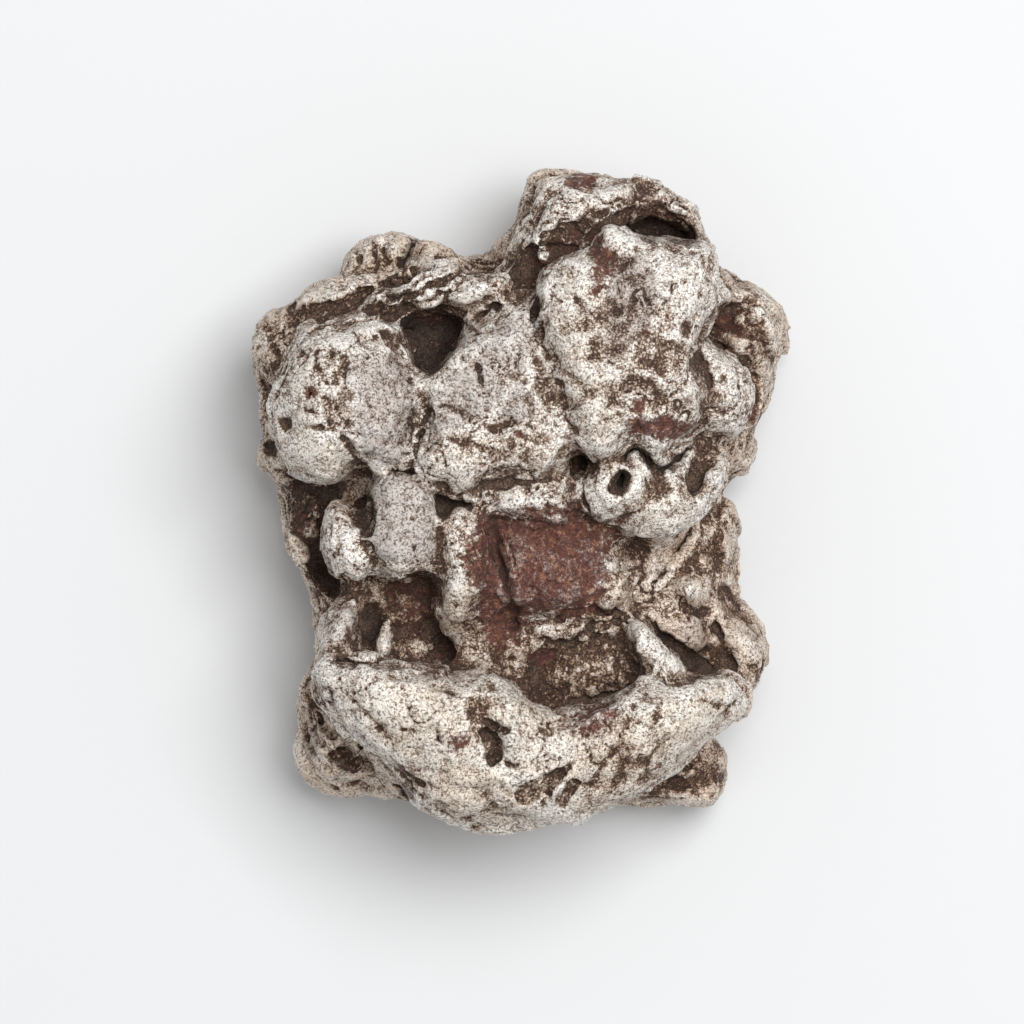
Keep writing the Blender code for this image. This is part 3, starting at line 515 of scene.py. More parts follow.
LEFT_MIDDLE = (
    Patch(((-16.8, -0.2), (-15.4, 0.3), (-14.5, -0.6), (-14.7, -2.6), (-15.7, -4.0), (-16.6, -2.4)), 0.5,
          relief=-0.6, brown=1.0, dark=0.9),
    Patch(((-14.4, 2.4), (-9.4, 2.4), (-8.8, -1.0), (-8.8, -5.6), (-12.0, -6.4), (-14.8, -5.0),
           (-14.6, -1.0)), 1.0, cool=1.0, clean=0.4),
    Patch(((-9.0, 0.4), (-6.6, 0.2), (-4.6, -0.2), (-6.4, -1.0), (-7.6, -2.2)), 0.4, relief=-1.7,
          brown=1.0, dark=0.7),
    Line(((-7.9, -2.0), (-8.2, -4.4), (-8.4, -6.8), (-8.6, -8.6)), 0.3, relief=-0.4, brown=0.5),
    Spot((-14.5, -8.1), (1.6, 1.2), clean=1.0),
    Spot((-17.6, -12.6), (2.2, 2.8), cool=0.8, brown=0.3, speckle=0.4),
    Patch(((-14.0, -14.0), (-8.0, -13.8), (-7.0, -16.0), (-12.0, -16.8), (-15.0, -16.2)), 0.8, brown=0.9,
          relief=-0.5),
    Patch(((-7.8, -1.4), (-3.6, -0.6), (-3.3, -4.0), (-3.8, -8.2), (-7.8, -8.2)), 0.9, speckle=1.0,
          brown=0.2),
    Spot((-5.8, -10.8), (2.1, 2.5), warm=1.0, speckle=0.4),
    Spot((-17.0, -9.2), (1.7, 0.9), relief=-0.6, brown=1.0, dark=0.3),
    Patch(((-13.8, -9.2), (-12.2, -7.7), (-9.6, -7.5), (-8.2, -9.2), (-8.6, -11.0), (-10.4, -11.8),
           (-12.8, -11.4)), 1.0, rust=0.6, brown=1.2, dark=0.55),
    Patch(((-13.2, -12.4), (-11.0, -12.1), (-8.2, -12.6), (-8.4, -14.1), (-11.2, -14.6),
           (-13.0, -14.2)), 0.6, brown=1.0, dark=0.5, rust=0.3),
    Spot((-15.0, -13.0), (1.0, 2.4), brown=1.0, dark=0.8),
    Line(((-13.3, -11.6), (-13.7, -13.6), (-14.1, -15.4)), 0.6, relief=2.4, clean=1.0),
    Spot((-9.2, -14.6), (0.5, 0.5), relief=0.9, clean=1.0),
    Spot((-8.2, -13.9), (0.45, 0.45), relief=0.9, clean=1.0),
    Patch(((-10.6, -16.6), (-9.4, -15.4), (-7.2, -14.3), (-5.8, -15.0), (-7.0, -16.9),
           (-9.2, -17.6)), 0.6, brown=1.0, rust=0.4, dark=0.3),
    Line(((-19.2, -16.1), (-17.0, -16.6), (-14.6, -16.6), (-12.0, -16.8)), 0.9, relief=-1.4, brown=1.0,
         dark=0.7),
    Line(((-19.4, -11.0), (-17.6, -12.8), (-17.0, -15.0)), 0.35, relief=-0.3, brown=0.5),
    Line(((-18.6, -1.0), (-18.4, -3.6), (-18.6, -6.2)), 0.5, relief=-0.3, brown=0.5, speckle=0.5),
    Line(((-16.2, -4.2), (-14.8, -6.2), (-15.2, -8.4)), 0.4, relief=-0.6, brown=0.8),
    Line(((-14.6, -6.2), (-12.2, -7.2), (-9.2, -6.6)), 0.5, relief=-0.4, brown=0.6, warm=0.6),
)

RUST_BASIN = (
    Patch(((-1.4, -2.6), (1.0, -2.0), (4.6, -1.8), (7.4, -2.4), (8.4, -4.6), (8.6, -7.6), (7.8, -10.0),
           (4.8, -11.2), (1.2, -11.4), (-0.6, -9.6), (-1.6, -6.6)), 4.4, rust=1.2),
    Patch(((-3.6, -1.2), (1.0, -1.4), (4.6, -1.4), (8.4, -2.4), (9.4, -6.0), (8.4, -9.6), (4.8, -10.6),
           (0.2, -10.8), (-2.6, -8.0)), 3.6, relief=0.45, steep=-0.4),
    Line(((-3.8, -1.4), (-3.8, -4.8)), 1.4, rust=0.6, brown=0.5),
    Spot((8.8, -3.0), (1.8, 1.3), rust=0.55),
    Spot((6.6, -10.6), (2.6, 1.2), 12.0, rust=0.55),
    Spot((-4.8, -4.6), (1.3, 2.0), rust=0.5, brown=0.5),
    Spot((2.4, -1.2), (2.8, 0.8), rust=0.5, brown=0.4),
    Line(((-2.7, -1.4), (-2.6, -5.6), (-1.6, -8.4), (-0.8, -11.4), (-0.6, -14.2)), 1.0, relief=-0.8,
         brown=1.2, dark=0.9),
    Spot((-1.9, -11.4), (2.6, 3.2), rust=1.0),
    Spot((-3.9, -7.6), (2.0, 2.0), rust=0.7, brown=0.4),
    Spot((-1.2, -10.4), (2.6, 3.4), relief=0.8, steep=-0.2),
    Spot((-2.4, -4.4), (1.8, 3.6), rust=0.55, brown=0.3),
    Spot((1.6, -2.7), (1.1, 0.9), relief=0.3, brown=1.0, dark=0.5),
    Spot((3.9, -2.1), (1.2, 0.9), relief=0.3, clean=0.8),
    Line(((4.4, -11.6), (7.6, -11.0), (9.4, -9.4), (10.2, -7.2)), 1.5, relief=0.3, warm=1.0,
         speckle=0.8),
    Line(((0.2, -1.2), (3.0, -0.9), (6.2, -1.6), (8.6, -2.6)), 0.6, relief=-0.5, brown=0.8),
    Line(((3.0, -4.6), (4.8, -5.6), (6.6, -5.2)), 0.4, relief=-0.3, rust=0.8, brown=0.5),
    Line(((1.2, -6.4), (2.4, -8.0), (4.6, -8.6)), 0.4, relief=-0.3, rust=0.8, brown=0.5),
)

RING_LOBE = (
    Spot((9.9, 1.6), (2.3, 2.5), relief=0.2, steep=0.5, speckle=0.7),
    Spot((9.9, 1.55), (0.95, 1.35), relief=-3.0, steep=0.6, brown=1.0, dark=0.9),
    Line(((7.2, -1.8), (6.3, 0.4), (6.8, 2.8), (8.4, 4.0)), 0.5, relief=-0.8, brown=0.9, dark=0.2),
    Patch(((16.0, 5.0), (19.2, 5.6), (20.0, 3.6), (18.8, 0.8), (17.4, -0.6), (16.2, 1.2)), 0.8,
          brown=0.9, dark=0.2),
    Line(((19.9, 4.2), (19.2, 0.4), (17.0, -2.9)), 0.8, relief=0.4, clean=0.7),
    # Painted shadow below the ring lobe, in brown and the dark tint
    Patch(((9.8, -4.6), (12.0, -4.2), (14.2, -4.8), (14.0, -6.8), (12.2, -8.0), (10.2, -6.8)), 0.8,
          brown=0.7, dark=0.3),
    Spot((16.2, 1.0), (1.0, 1.8), brown=0.8),
    Patch(((13.4, -2.8), (16.4, -2.0), (16.0, -6.4), (13.8, -8.6), (12.4, -8.4)), 0.9, clean=1.0),
    Patch(((12.8, 1.6), (15.8, 1.4), (17.2, -1.8), (14.2, -3.8), (11.2, -3.0)), 0.9, speckle=0.8,
          warm=0.4),
    Line(((10.2, -2.6), (12.4, -3.8), (14.6, -4.2)), 0.4, relief=-0.5, brown=0.7),
)

FLANK = (
    Line(((17.8, -2.7), (15.5, -6.2), (13.4, -9.5)), 0.6, relief=0.5, clean=0.4),
    Line(((17.2, -2.6), (14.8, -6.4), (12.8, -9.8)), 0.5, relief=-0.7, brown=0.9),
    Line(((20.6, 2.4), (19.6, -1.6), (19.8, -5.6), (18.4, -7.6)), 0.6, relief=-0.5, brown=0.6),
    Patch(((16.0, -11.6), (18.4, -11.2), (18.9, -14.0), (17.6, -15.6), (16.0, -14.0)), 0.8, cool=0.7,
          brown=0.4),
    Line(((15.0, -9.0), (16.8, -11.3), (18.9, -11.2)), 0.45, relief=-0.8, brown=0.9, dark=0.2),
    Line(((20.3, -8.8), (21.6, -11.0)), 0.6, relief=-0.7, brown=0.9),
    Spot((20.4, -2.7), (0.6, 1.0), relief=-0.6, brown=0.9),
    Spot((23.6, -17.3), (0.6, 1.8), -15.0, relief=-0.6, brown=0.8),
    Line(((21.6, -12.4), (22.8, -12.0), (23.8, -13.2), (22.8, -14.4)), 0.4, relief=-0.5, brown=0.8),
    Patch(((15.4, -5.0), (19.6, -4.0), (20.4, -7.4), (18.0, -8.2), (15.4, -7.8)), 1.0, speckle=0.7,
          brown=0.2),
    Line(((19.4, -11.6), (19.8, -14.6), (21.0, -17.2), (22.6, -19.6)), 0.6, relief=-0.8, brown=0.9,
         dark=0.2),
    Spot((22.4, -15.6), (1.6, 2.4), speckle=0.7),
)

EAR = (
    Patch(((19.4, 19.9), (21.3, 19.9), (22.6, 20.7), (23.8, 19.9), (24.0, 17.9), (25.0, 15.4),
           (25.3, 14.1), (24.3, 12.9), (23.0, 13.4), (22.6, 14.9), (21.8, 15.9), (20.0, 16.9),
           (19.0, 17.4)), 0.8, brown=1.2, rust=0.2),
    Spot((20.8, 17.4), (1.5, 1.0), relief=-0.3, rust=0.6, dark=0.3),
    Spot((22.8, 18.0), (1.2, 1.6), relief=0.3, brown=0.9),
    Line(((23.5, 12.3), (25.0, 13.3), (25.9, 12.5)), 0.8, relief=0.6, clean=0.5),
    Spot((23.5, 9.4), (1.3, 2.5), brown=0.9, dark=0.2),
    Spot((23.0, 8.6), (1.2, 1.2), rust=0.7),
    Line(((23.8, 20.6), (25.6, 18.6), (26.6, 16.2), (26.2, 13.8)), 0.8, relief=0.2, clean=0.5),
    Line(((18.8, 15.6), (20.8, 15.2), (22.2, 13.6), (22.6, 11.2)), 0.5, relief=-0.6, brown=0.8),
    Line(((20.8, 22.4), (22.4, 21.4), (23.4, 20.4)), 0.4, relief=-0.5, brown=0.7),
    Spot((20.2, 10.4), (1.6, 3.0), 10.0, speckle=0.6),
)

LOWER_BASIN = (
    Patch(((3.8, -13.6), (8.0, -13.4), (11.4, -14.6), (12.6, -16.9), (11.0, -19.3), (7.0, -19.5),
           (4.2, -17.5)), 1.4, brown=1.1, dark=0.35),
    Patch(((-0.4, -17.2), (1.6, -15.4), (3.8, -16.6), (5.0, -19.4), (4.6, -21.2), (2.0, -20.9),
           (0.2, -19.3)), 0.7, brown=1.0, dark=0.45),
    Line(((4.4, -20.6), (7.0, -19.9), (9.8, -19.4), (11.6, -18.4)), 0.9, relief=-0.6, brown=1.0,
         dark=0.7),
    Patch(((1.3, -12.8), (3.8, -12.0), (7.8, -11.5), (9.8, -12.5), (7.0, -13.8), (3.0, -14.2)), 0.6,
          brown=0.3, relief=0.5),
    Line(((2.2, -12.1), (4.8, -11.6), (7.8, -11.3), (11.4, -11.9)), 0.4, relief=-0.8, brown=1.0,
         dark=0.4),
    Line(((1.4, -13.9), (4.8, -14.1), (7.8, -12.8), (11.4, -12.0)), 0.45, relief=-0.9, brown=1.0,
         dark=0.5),
    Spot((8.4, -13.1), (1.4, 0.6), -8.0, relief=0.6, clean=1.0),
    Spot((6.2, -14.2), (0.6, 0.4), relief=0.5, clean=1.0),
    Spot((-0.2, -13.7), (0.5, 0.4), relief=0.5, clean=0.9),
    Line(((11.0, -12.6), (12.8, -14.6), (15.0, -16.8)), 1.8, clean=0.9),
    Line(((12.2, -11.9), (14.4, -13.9), (16.8, -16.0), (18.6, -17.1), (20.4, -17.5)), 1.1, relief=-0.8,
         brown=1.0, dark=0.9),
    Patch(((0.4, -15.8), (2.4, -14.8), (3.4, -15.6), (2.2, -17.0)), 0.5, rust=0.7, brown=0.6),
    Spot((0.3, -13.6), (1.2, 1.8), brown=0.9, dark=0.3),
    Spot((18.2, -18.0), (1.8, 1.0), brown=0.8),
)

# Grains that stand on the dark plate in the lower basin: how many, the area that they lie in, the
# smallest one's radius, which is also how much wider they get, and how much narrower than long they are
GRAIN_SPECKS = 46
SPECK_AREA = ((4.2, -19.0), (12.2, -14.0))
SPECK_SIZE = 0.14
SPECK_FLATNESS = 0.8

CHIN = (
    Line(((-4.2, -19.2), (-3.7, -18.1), (-2.2, -17.7), (0.0, -17.9)), 0.4, relief=-0.6, brown=0.9),
    Spot((-14.8, -18.4), (0.5, 0.45), relief=-0.6, brown=1.0, dark=0.4),
    Line(((-7.8, -19.0), (-6.1, -20.2)), 0.45, relief=-0.6, brown=0.9),
    Line(((-8.2, -22.9), (-8.2, -24.8)), 0.4, relief=-0.6, brown=0.9),
    Line(((-12.4, -22.9), (-10.5, -23.2)), 0.4, relief=-0.5, brown=0.9),
    Line(((-3.8, -22.0), (-1.6, -23.2)), 0.5, relief=-0.7, brown=1.0),
    Patch(((-4.4, -23.2), (-2.9, -23.0), (-2.2, -24.6), (-2.0, -26.0), (-2.8, -27.2), (-3.9, -26.2),
           (-3.6, -24.8)), 0.9, relief=-1.1, brown=1.2, dark=0.5),
    Spot((-6.4, -24.4), (2.8, 1.3), -6.0, rust=0.55, brown=0.5),
    Spot((7.8, -21.9), (2.3, 1.5), -14.0, rust=0.7),
    Spot((2.4, -22.8), (0.9, 1.0), relief=-0.4, brown=1.0),
    Patch(((-5.4, -19.6), (-3.4, -18.6), (-2.2, -20.6), (-2.4, -23.4), (-4.0, -24.4),
           (-5.6, -22.2)), 1.2, brown=0.9, speckle=0.8),
    Spot((-0.7, -23.7), (1.6, 2.2), relief=0.8, steep=0.2, clean=0.5),
    Line(((-2.4, -21.8), (-2.6, -23.8), (-1.6, -26.2), (0.6, -26.6)), 0.5, relief=-0.6, brown=0.8),
    Patch(((0.2, -28.4), (2.6, -27.4), (5.4, -26.2), (3.6, -28.8), (1.6, -30.4), (-0.6, -30.6)), 0.7,
          brown=1.2, relief=-0.7),
    Line(((3.2, -28.4), (2.6, -30.0), (1.6, -31.4)), 0.5, relief=-0.8, brown=0.9, dark=0.3),
    Line(((5.4, -28.2), (4.6, -29.4), (3.7, -30.8)), 0.8, relief=-0.8, brown=1.2),
    Line(((-3.7, -29.4), (-3.0, -30.8), (-1.9, -31.4)), 0.4, relief=-0.5, brown=0.8),
    Line(((-14.9, -25.1), (-12.7, -26.3), (-10.4, -28.0), (-9.0, -28.7)), 0.6, relief=-0.8, brown=1.0),
    Line(((-19.6, -18.6), (-18.2, -21.4), (-15.2, -24.8), (-12.0, -27.6), (-9.6, -30.0)), 0.7,
         relief=-0.9, brown=0.9, dark=0.2),
    Line(((-18.4, -25.1), (-16.2, -26.9), (-12.4, -28.6), (-11.0, -30.2)), 0.6, relief=-0.9, brown=1.0,
         dark=0.3),
    Line(((11.7, -28.3), (12.3, -26.2), (13.8, -24.6), (16.8, -21.8)), 0.45, relief=-0.5, brown=0.6),
    Line(((13.6, -26.8), (14.9, -24.9)), 0.4, relief=-0.4, brown=0.6),
    Spot((12.0, -26.0), (0.8, 1.0), brown=0.8, relief=-0.3),
    # Painted light in the crease at the chin's lower right
    Patch(((14.0, -23.0), (18.5, -20.5), (20.4, -22.5), (16.5, -27.5), (13.5, -27.5)), 1.2, clean=1.0),
    # Painted light on the chin's lower middle, which faces away from the lamp
    Patch(((-4.5, -27.5), (4.5, -27.5), (4.0, -32.0), (-4.0, -32.5)), 1.2, clean=1.0),
    Spot((-2.4, -20.8), (1.8, 1.2), brown=0.5),
    # Painted light over the middle of the chin, whose slopes face away from the lamp, with a warm tint
    Patch(((-16.0, -20.0), (2.0, -19.8), (6.0, -23.4), (5.0, -29.0), (-3.0, -30.8), (-11.0, -27.0)), 1.8,
          clean=0.6, warm=0.5),
    Spot((5.6, -22.8), (2.2, 1.4), rust=0.6, brown=0.4),
    Spot((11.6, -20.2), (1.6, 0.8), brown=0.6),
    Spot((13.6, -26.6), (0.8, 0.35), rust=0.8),
    Line(((13.6, -19.9), (13.6, -22.3)), 0.35, relief=-0.4, brown=0.8),
    Line(((6.8, -28.8), (8.2, -26.4), (9.8, -24.6)), 0.5, relief=-0.4, brown=0.6),
    Line(((8.6, -29.6), (9.8, -27.4), (11.0, -25.8)), 0.4, relief=-0.4, brown=0.6),
    Line(((-17.6, -19.4), (-15.4, -21.4), (-13.8, -24.0)), 0.5, relief=-0.35, brown=0.6),
    Patch(((-19.0, -17.4), (-10.0, -18.0), (-4.6, -19.6), (-5.0, -23.0), (-12.0, -24.6),
           (-17.0, -21.6)), 1.4, clean=0.35, warm=0.4),
    Patch(((-11.0, -25.6), (-4.6, -26.6), (1.8, -31.4), (-4.0, -32.6), (-9.4, -30.4)), 1.4, warm=0.9,
          speckle=0.3),
    Patch(((5.0, -24.0), (14.6, -20.6), (20.8, -19.0), (17.8, -24.6), (11.0, -29.4), (5.6, -31.0)), 1.4,
          warm=0.8, speckle=0.45),
    Line(((17.0, -19.4), (18.8, -20.6), (21.4, -20.4)), 0.4, relief=-0.4, brown=0.6),
    Line(((-20.0, -17.6), (-18.6, -20.2), (-16.2, -23.6), (-13.2, -26.6)), 0.6, relief=0.3, clean=0.5),
)

FEET = (
    Spot((-20.9, -20.4), (1.3, 2.2), brown=1.0, speckle=0.6),
    Spot((-20.9, -24.2), (1.1, 1.7), brown=1.3, dark=0.7),
    Patch(((-20.2, -26.9), (-17.6, -26.8), (-15.4, -28.4), (-15.2, -29.6), (-18.4, -28.6)), 0.7,
          brown=1.0, dark=0.4, relief=-0.5),
    Patch(((-19.6, -26.0), (-18.0, -25.0), (-15.0, -26.2), (-13.0, -28.8), (-14.6, -28.2),
           (-17.2, -26.4)), 0.6, brown=1.2, dark=0.3, relief=-0.4),
    # Painted light on the left foot, which lies low and in shade, with a warm tint
    Patch(((-21.8, -22.0), (-17.0, -21.0), (-12.6, -27.0), (-14.0, -30.6), (-21.8, -30.0)), 1.4,
          clean=1.6, warm=0.3),
    Spot((-11.6, -29.3), (0.9, 1.2), 30.0, relief=-0.8, brown=1.0, dark=0.7),
    # Brown of the right foot's recess, partly a painted shadow of the chin above it
    Patch(((11.8, -30.0), (14.0, -27.4), (17.5, -25.0), (20.0, -24.4), (20.0, -29.4),
           (16.0, -29.9)), 0.9, brown=0.95, dark=0.15),
    Spot((19.8, -27.9), (0.35, 0.9), relief=-0.8, brown=1.0, dark=0.8),
    Line(((11.6, -30.4), (16.0, -30.3), (20.2, -30.3)), 0.7, relief=0.4, clean=0.6),
    Spot((16.6, -27.6), (1.6, 0.8), 30.0, relief=0.5, speckle=0.5),
    Spot((-20.6, -28.0), (1.4, 1.2), speckle=0.6),
)

# The left foot's ridges lie one behind the other: the first's points, how many, and the step to the next
FOOT_RIDGE = ((-20.2, -19.6), (-18.8, -21.5), (-17.5, -23.0), (-15.2, -25.6))
FOOT_RIDGES = 4
FOOT_STEP = (-0.7, -1.5)


def grain_marks() -> tuple[Mark, ...]:
    """Draw the lines of the grained band, which fan out a little towards its right end.

    Returns:
        The lines.
    """
    start, end = np.array(GRAIN_START), np.array(GRAIN_END)
    along = (end - start) / np.hypot(*(end - start))
    aside = np.array((-along[1], along[0]))
    made = []
    for row in range(GRAIN_LINES):
        shift = (row - 0.5 * (GRAIN_LINES - 1)) * GRAIN_STEP
        first = start + aside * shift * GRAIN_FAN
        last = end + aside * shift
        bend = 0.5 * (first + last) + aside * GRAIN_BEND * math.sin(2.1 * row)
        points = (tuple(first), tuple(bend), tuple(last))
        made.append(Line(points, 0.42, relief=-0.8, brown=0.55 - 0.2 * (row % 2)))
    return tuple(made)


def foot_marks() -> tuple[Mark, ...]:
    """Draw the grooves between the left foot's ridges.

    Returns:
        The grooves.
    """
    made = []
    for row in range(FOOT_RIDGES):
        shift = np.array(FOOT_STEP) * row
        points = tuple(tuple(np.array(point) + shift) for point in FOOT_RIDGE)
        made.append(Line(points, 0.7, relief=-1.1, brown=0.5, dark=0.2))
    return tuple(made)


def speck_marks() -> tuple[Mark, ...]:
    """Scatter the light grains that stand on the dark plate in the lower basin.

    Returns:
        The grains.
    """
    chance = np.random.default_rng(7)
    low, high = np.array(SPECK_AREA[0]), np.array(SPECK_AREA[1])
    made = []
    for _ in range(GRAIN_SPECKS):
        place = low + (high - low) * chance.random(2)
        size = SPECK_SIZE + SPECK_SIZE * chance.random()
        radii = (size, size * SPECK_FLATNESS)
        made.append(Spot(tuple(place), radii, chance.random() * 180.0, relief=0.3, clean=1.0))
    return tuple(made)


MARKS: tuple[Mark, ...] = (
    CROWN + ARCH + BOSS + DEEP_HOLE + MIDDLE_PLATE + UPPER_BAND + BACK_LOBE + LEFT_EDGE + LEFT_MIDDLE
    + RUST_BASIN + RING_LOBE + FLANK + EAR + LOWER_BASIN + CHIN + FEET
    + grain_marks() + foot_marks() + speck_marks()
)


@dataclass(frozen=True)
class Fill:
    """Oxide that has stayed in the bottom of a hollow: its middle, half sizes and turn in degrees."""

    middle: tuple[float, float, float]
    radii: tuple[float, float, float]
    turn: float = 0.0


FILLS = (
    Fill((-9.6, 15.4, 17.5), (5.2, 4.6, 4.5)),
    Fill((13.6, 26.4, 16.5), (5.6, 3.0, 3.5), -8.0),
    Fill((22.2, 16.6, 17.0), (3.8, 5.0, 6.5)),
    Fill((4.3, 25.5, 26.8), (3.2, 2.6, 3.4)),
    Fill((0.8, 23.4, 24.4), (1.8, 2.8, 3.2)),
    Fill((7.8, -16.2, 21.0), (7.0, 5.0, 3.7), 12.0),
    Fill((2.0, -18.0, 20.0), (3.0, 3.2, 3.0)),
    Fill((-11.6, -10.6, 18.5), (4.4, 4.0, 4.5)),
    Fill((-11.6, -14.6, 19.0), (5.0, 2.6, 3.5)),
    Fill((-21.0, -3.4, 15.0), (2.4, 6.0, 4.5)),
    Fill((-17.4, -24.6, 14.0), (4.4, 4.2, 9.5), 20.0),
    Fill((-17.8, -27.6, 9.0), (4.0, 2.6, 6.5)),
    Fill((20.0, -3.8, 11.0), (1.8, 4.2, 8.0)),
    Fill((20.2, -8.2, 10.0), (1.9, 3.4, 7.0)),
    Fill((17.0, -26.8, 8.5), (4.2, 3.0, 5.0)),
    Fill((19.0, 3.0, 22.0), (2.2, 3.0, 4.0)),
)


@dataclass
class Skin:
    """A closed mesh as numbers: its points and normals in mm, and which points share an edge."""

    points: np.ndarray
    normals: np.ndarray
    edges: np.ndarray

    @classmethod
    def of(cls, mesh: bpy.types.Mesh) -> "Skin":
        """Read a mesh.

        Args:
            mesh: The mesh, in metres.

        Returns:
            Its numbers, in mm.
        """
        total = len(mesh.vertices)
        points = np.zeros(total * 3, np.float32)
        normals = np.zeros(total * 3, np.float32)
        edges = np.zeros(len(mesh.edges) * 2, np.int32)
        mesh.vertices.foreach_get("co", points)
        mesh.vertices.foreach_get("normal", normals)
        mesh.edges.foreach_get("vertices", edges)
        return cls(
            points.reshape(-1, 3).astype(float) / MM,
            normals.reshape(-1, 3).astype(float),
            edges.reshape(-1, 2),
        )

    def put(self, mesh: bpy.types.Mesh) -> None:
        """Write the points back to the mesh that they came from."""
        mesh.vertices.foreach_set("co", (self.points * MM).astype(np.float32).ravel())
        mesh.update()

    def shown(self) -> np.ndarray:
        """Return where each point shows on the front.

        Returns:
            Its place at the level of the tables' places.
        """
        aim = np.array(AIM)
        closer = EYE_HEIGHT / (EYE_HEIGHT + DATUM - self.points[:, 2])
        return aim + (self.points[:, :2] - aim) * closer[:, None]

    def relaxed(self, rounds: int) -> np.ndarray:
        """Return the points after each has moved to the mean of its neighbours some times over.

        Args:
            rounds: How many times they move.

        Returns:
            The moved points.
        """
        total = len(self.points)
        one, other = self.edges[:, 0], self.edges[:, 1]
        count = np.bincount(one, minlength=total) + np.bincount(other, minlength=total)
        count = np.maximum(count, 1)
        now = self.points.copy()
        for _ in range(rounds):
            mean = np.empty_like(now)
            for axis in range(3):
                mean[:, axis] = (
                    np.bincount(one, weights=now[other, axis], minlength=total)
                    + np.bincount(other, weights=now[one, axis], minlength=total)
                ) / count
            now = mean
        return now

    def hollowness(self, rounds: int) -> np.ndarray:
        """Return how far each point lies below its surroundings, in mm, or above where negative."""
        return ((self.relaxed(rounds) - self.points) * self.normals).sum(axis=1)


def layered_noise(points: np.ndarray, length: float, octaves: int, shift: float) -> np.ndarray:
    """Return smooth noise with ever finer layers.

    Args:
        points: The points in mm.
        length: The wavelength of the coarsest layer in mm.
        octaves: How many layers there are.
        shift: A distance that sets one noise apart from another.

    Returns:
        One number for each point, mostly from -1 to 1.
    """
    scaled = points / length + shift
    return np.array([noise.fractal(Vector(point), 1.0, FINER, octaves) for point in scaled])


def cell_noise(points: np.ndarray, length: float, shift: float) -> tuple[np.ndarray, np.ndarray]:
    """Return what lies around scattered seeds.

    Args:
        points: The points in mm.
        length: The usual distance between seeds in mm.
        shift: A distance that sets one noise apart from another.

    Returns:
        Each point's distance to the nearest seed, and a steady number from 0 to 1 for that seed.
    """
    scaled = points / length + shift
    distance = np.empty(len(points))
    value = np.empty(len(points))
    for index, point in enumerate(scaled):
        distances, seeds = noise.voronoi(Vector(point))
        distance[index] = distances[0]
        value[index] = sum(part * factor for part, factor in zip(seeds[0], SEED_MIX)) % 1.0
    return distance, value


@dataclass(frozen=True)
class Wear:
    """One kind of unevenness of the worn skin, here plain ripples.

    length is its wavelength, size its height, bend how far it is pushed about, and shift a distance
    that sets its noise apart from the others. Each method takes the skin and which way each of its
    points is pushed, and returns one value for each point.
    """

    length: float
    size: float
    bend: float
    shift: float

    def bent(self, skin: Skin, push: np.ndarray) -> np.ndarray:
        """Return the skin's points, pushed about."""
        return skin.points + self.bend * push

    def level(self, skin: Skin, push: np.ndarray) -> np.ndarray:
        """Return the noise behind the wear, mostly from -1 to 1."""
        return layered_noise(self.bent(skin, push), self.length, 3, self.shift)

    def height(self, skin: Skin, push: np.ndarray) -> np.ndarray:
        """Return how far the wear lifts each point."""
        return self.size * self.level(skin, push)


@dataclass(frozen=True)
class Plates(Wear):
    """Plates that each lie a step higher or lower than the next, all over or on the sides and back."""

    sides_only: bool = False
    facing: Point = (0.75, 0.1)

    def height(self, skin: Skin, push: np.ndarray) -> np.ndarray:
        """Return how far each point's plate is lifted."""
        share = ease(*self.facing, skin.normals[:, 2]) if self.sides_only else 1.0
        return share * self.size * (cell_noise(self.bent(skin, push), self.length, self.shift)[1] - 0.5)


@dataclass(frozen=True)
class Fractures(Wear):
    """Winding cracks that are open here and there.

    width is the share of the noise that they take up. A second noise, of the wavelength in reach and
    set apart by apart, opens them over the range in opening.
    """

    width: float = 0.03
    reach: float = 9.0
    apart: float = 20.0
    opening: Point = (0.0, 0.25)

    def height(self, skin: Skin, push: np.ndarray) -> np.ndarray:
        """Return how far the cracks lower each point."""
        is_open = ease(*self.opening, layered_noise(skin.points, self.reach, 1, self.shift + self.apart))
        return -self.size * is_open * ease(self.width, 0.0, np.abs(self.level(skin, push)))


@dataclass(frozen=True)
class Crests(Wear):
    """Ripples with sharp valleys, or with sharp crests where size is negative."""

    middle: float = 0.2

    def height(self, skin: Skin, push: np.ndarray) -> np.ndarray:
        """Return how far the ripples lift each point."""
        return self.size * (np.abs(self.level(skin, push)) - self.middle)


@dataclass(frozen=True)
class Pits(Wear):
    """Round pits around some of the seeds of a cell noise."""

    rim: float = 0.34
    bottom: float = 0.12
    left_out: float = 0.62

    def height(self, skin: Skin, push: np.ndarray) -> np.ndarray:
        """Return how far the pits lower each point."""
        distance, value = cell_noise(self.bent(skin, push), self.length, self.shift)
        return -self.size * ease(self.rim, self.bottom, distance) * (value > self.left_out)


# Each wear's wavelength, height, bend and shift
WEARS: tuple[Wear, ...] = (
    Plates(7.5, 0.8, 2.2, 4.0, sides_only=True),
    Plates(3.6, 0.30, 1.6, 15.0),
    Fractures(7.0, 0.7, 0.8, 40.0, width=0.030),
    Fractures(3.2, 0.4, 0.8, 49.0, width=0.045),
    Crests(6.5, -0.9, 0.8, 80.0),
    Crests(2.6, 0.16, 0.8, 87.0),
    Wear(3.2, 0.16, 0.5, 20.0),
    Wear(1.1, 0.10, 0.5, 27.0),
    Pits(1.7, 0.28, 0.4, 9.0),
)


def placed(name: str, data: bpy.types.ID) -> bpy.types.Object:
    """Put a new object in the scene.

    Args:
        name: What it is called.
        data: The mesh, lamp or camera that it shows.

    Returns:
        The object.
    """
    made = bpy.data.objects.new(name, data)
    bpy.context.scene.collection.objects.link(made)
    return made


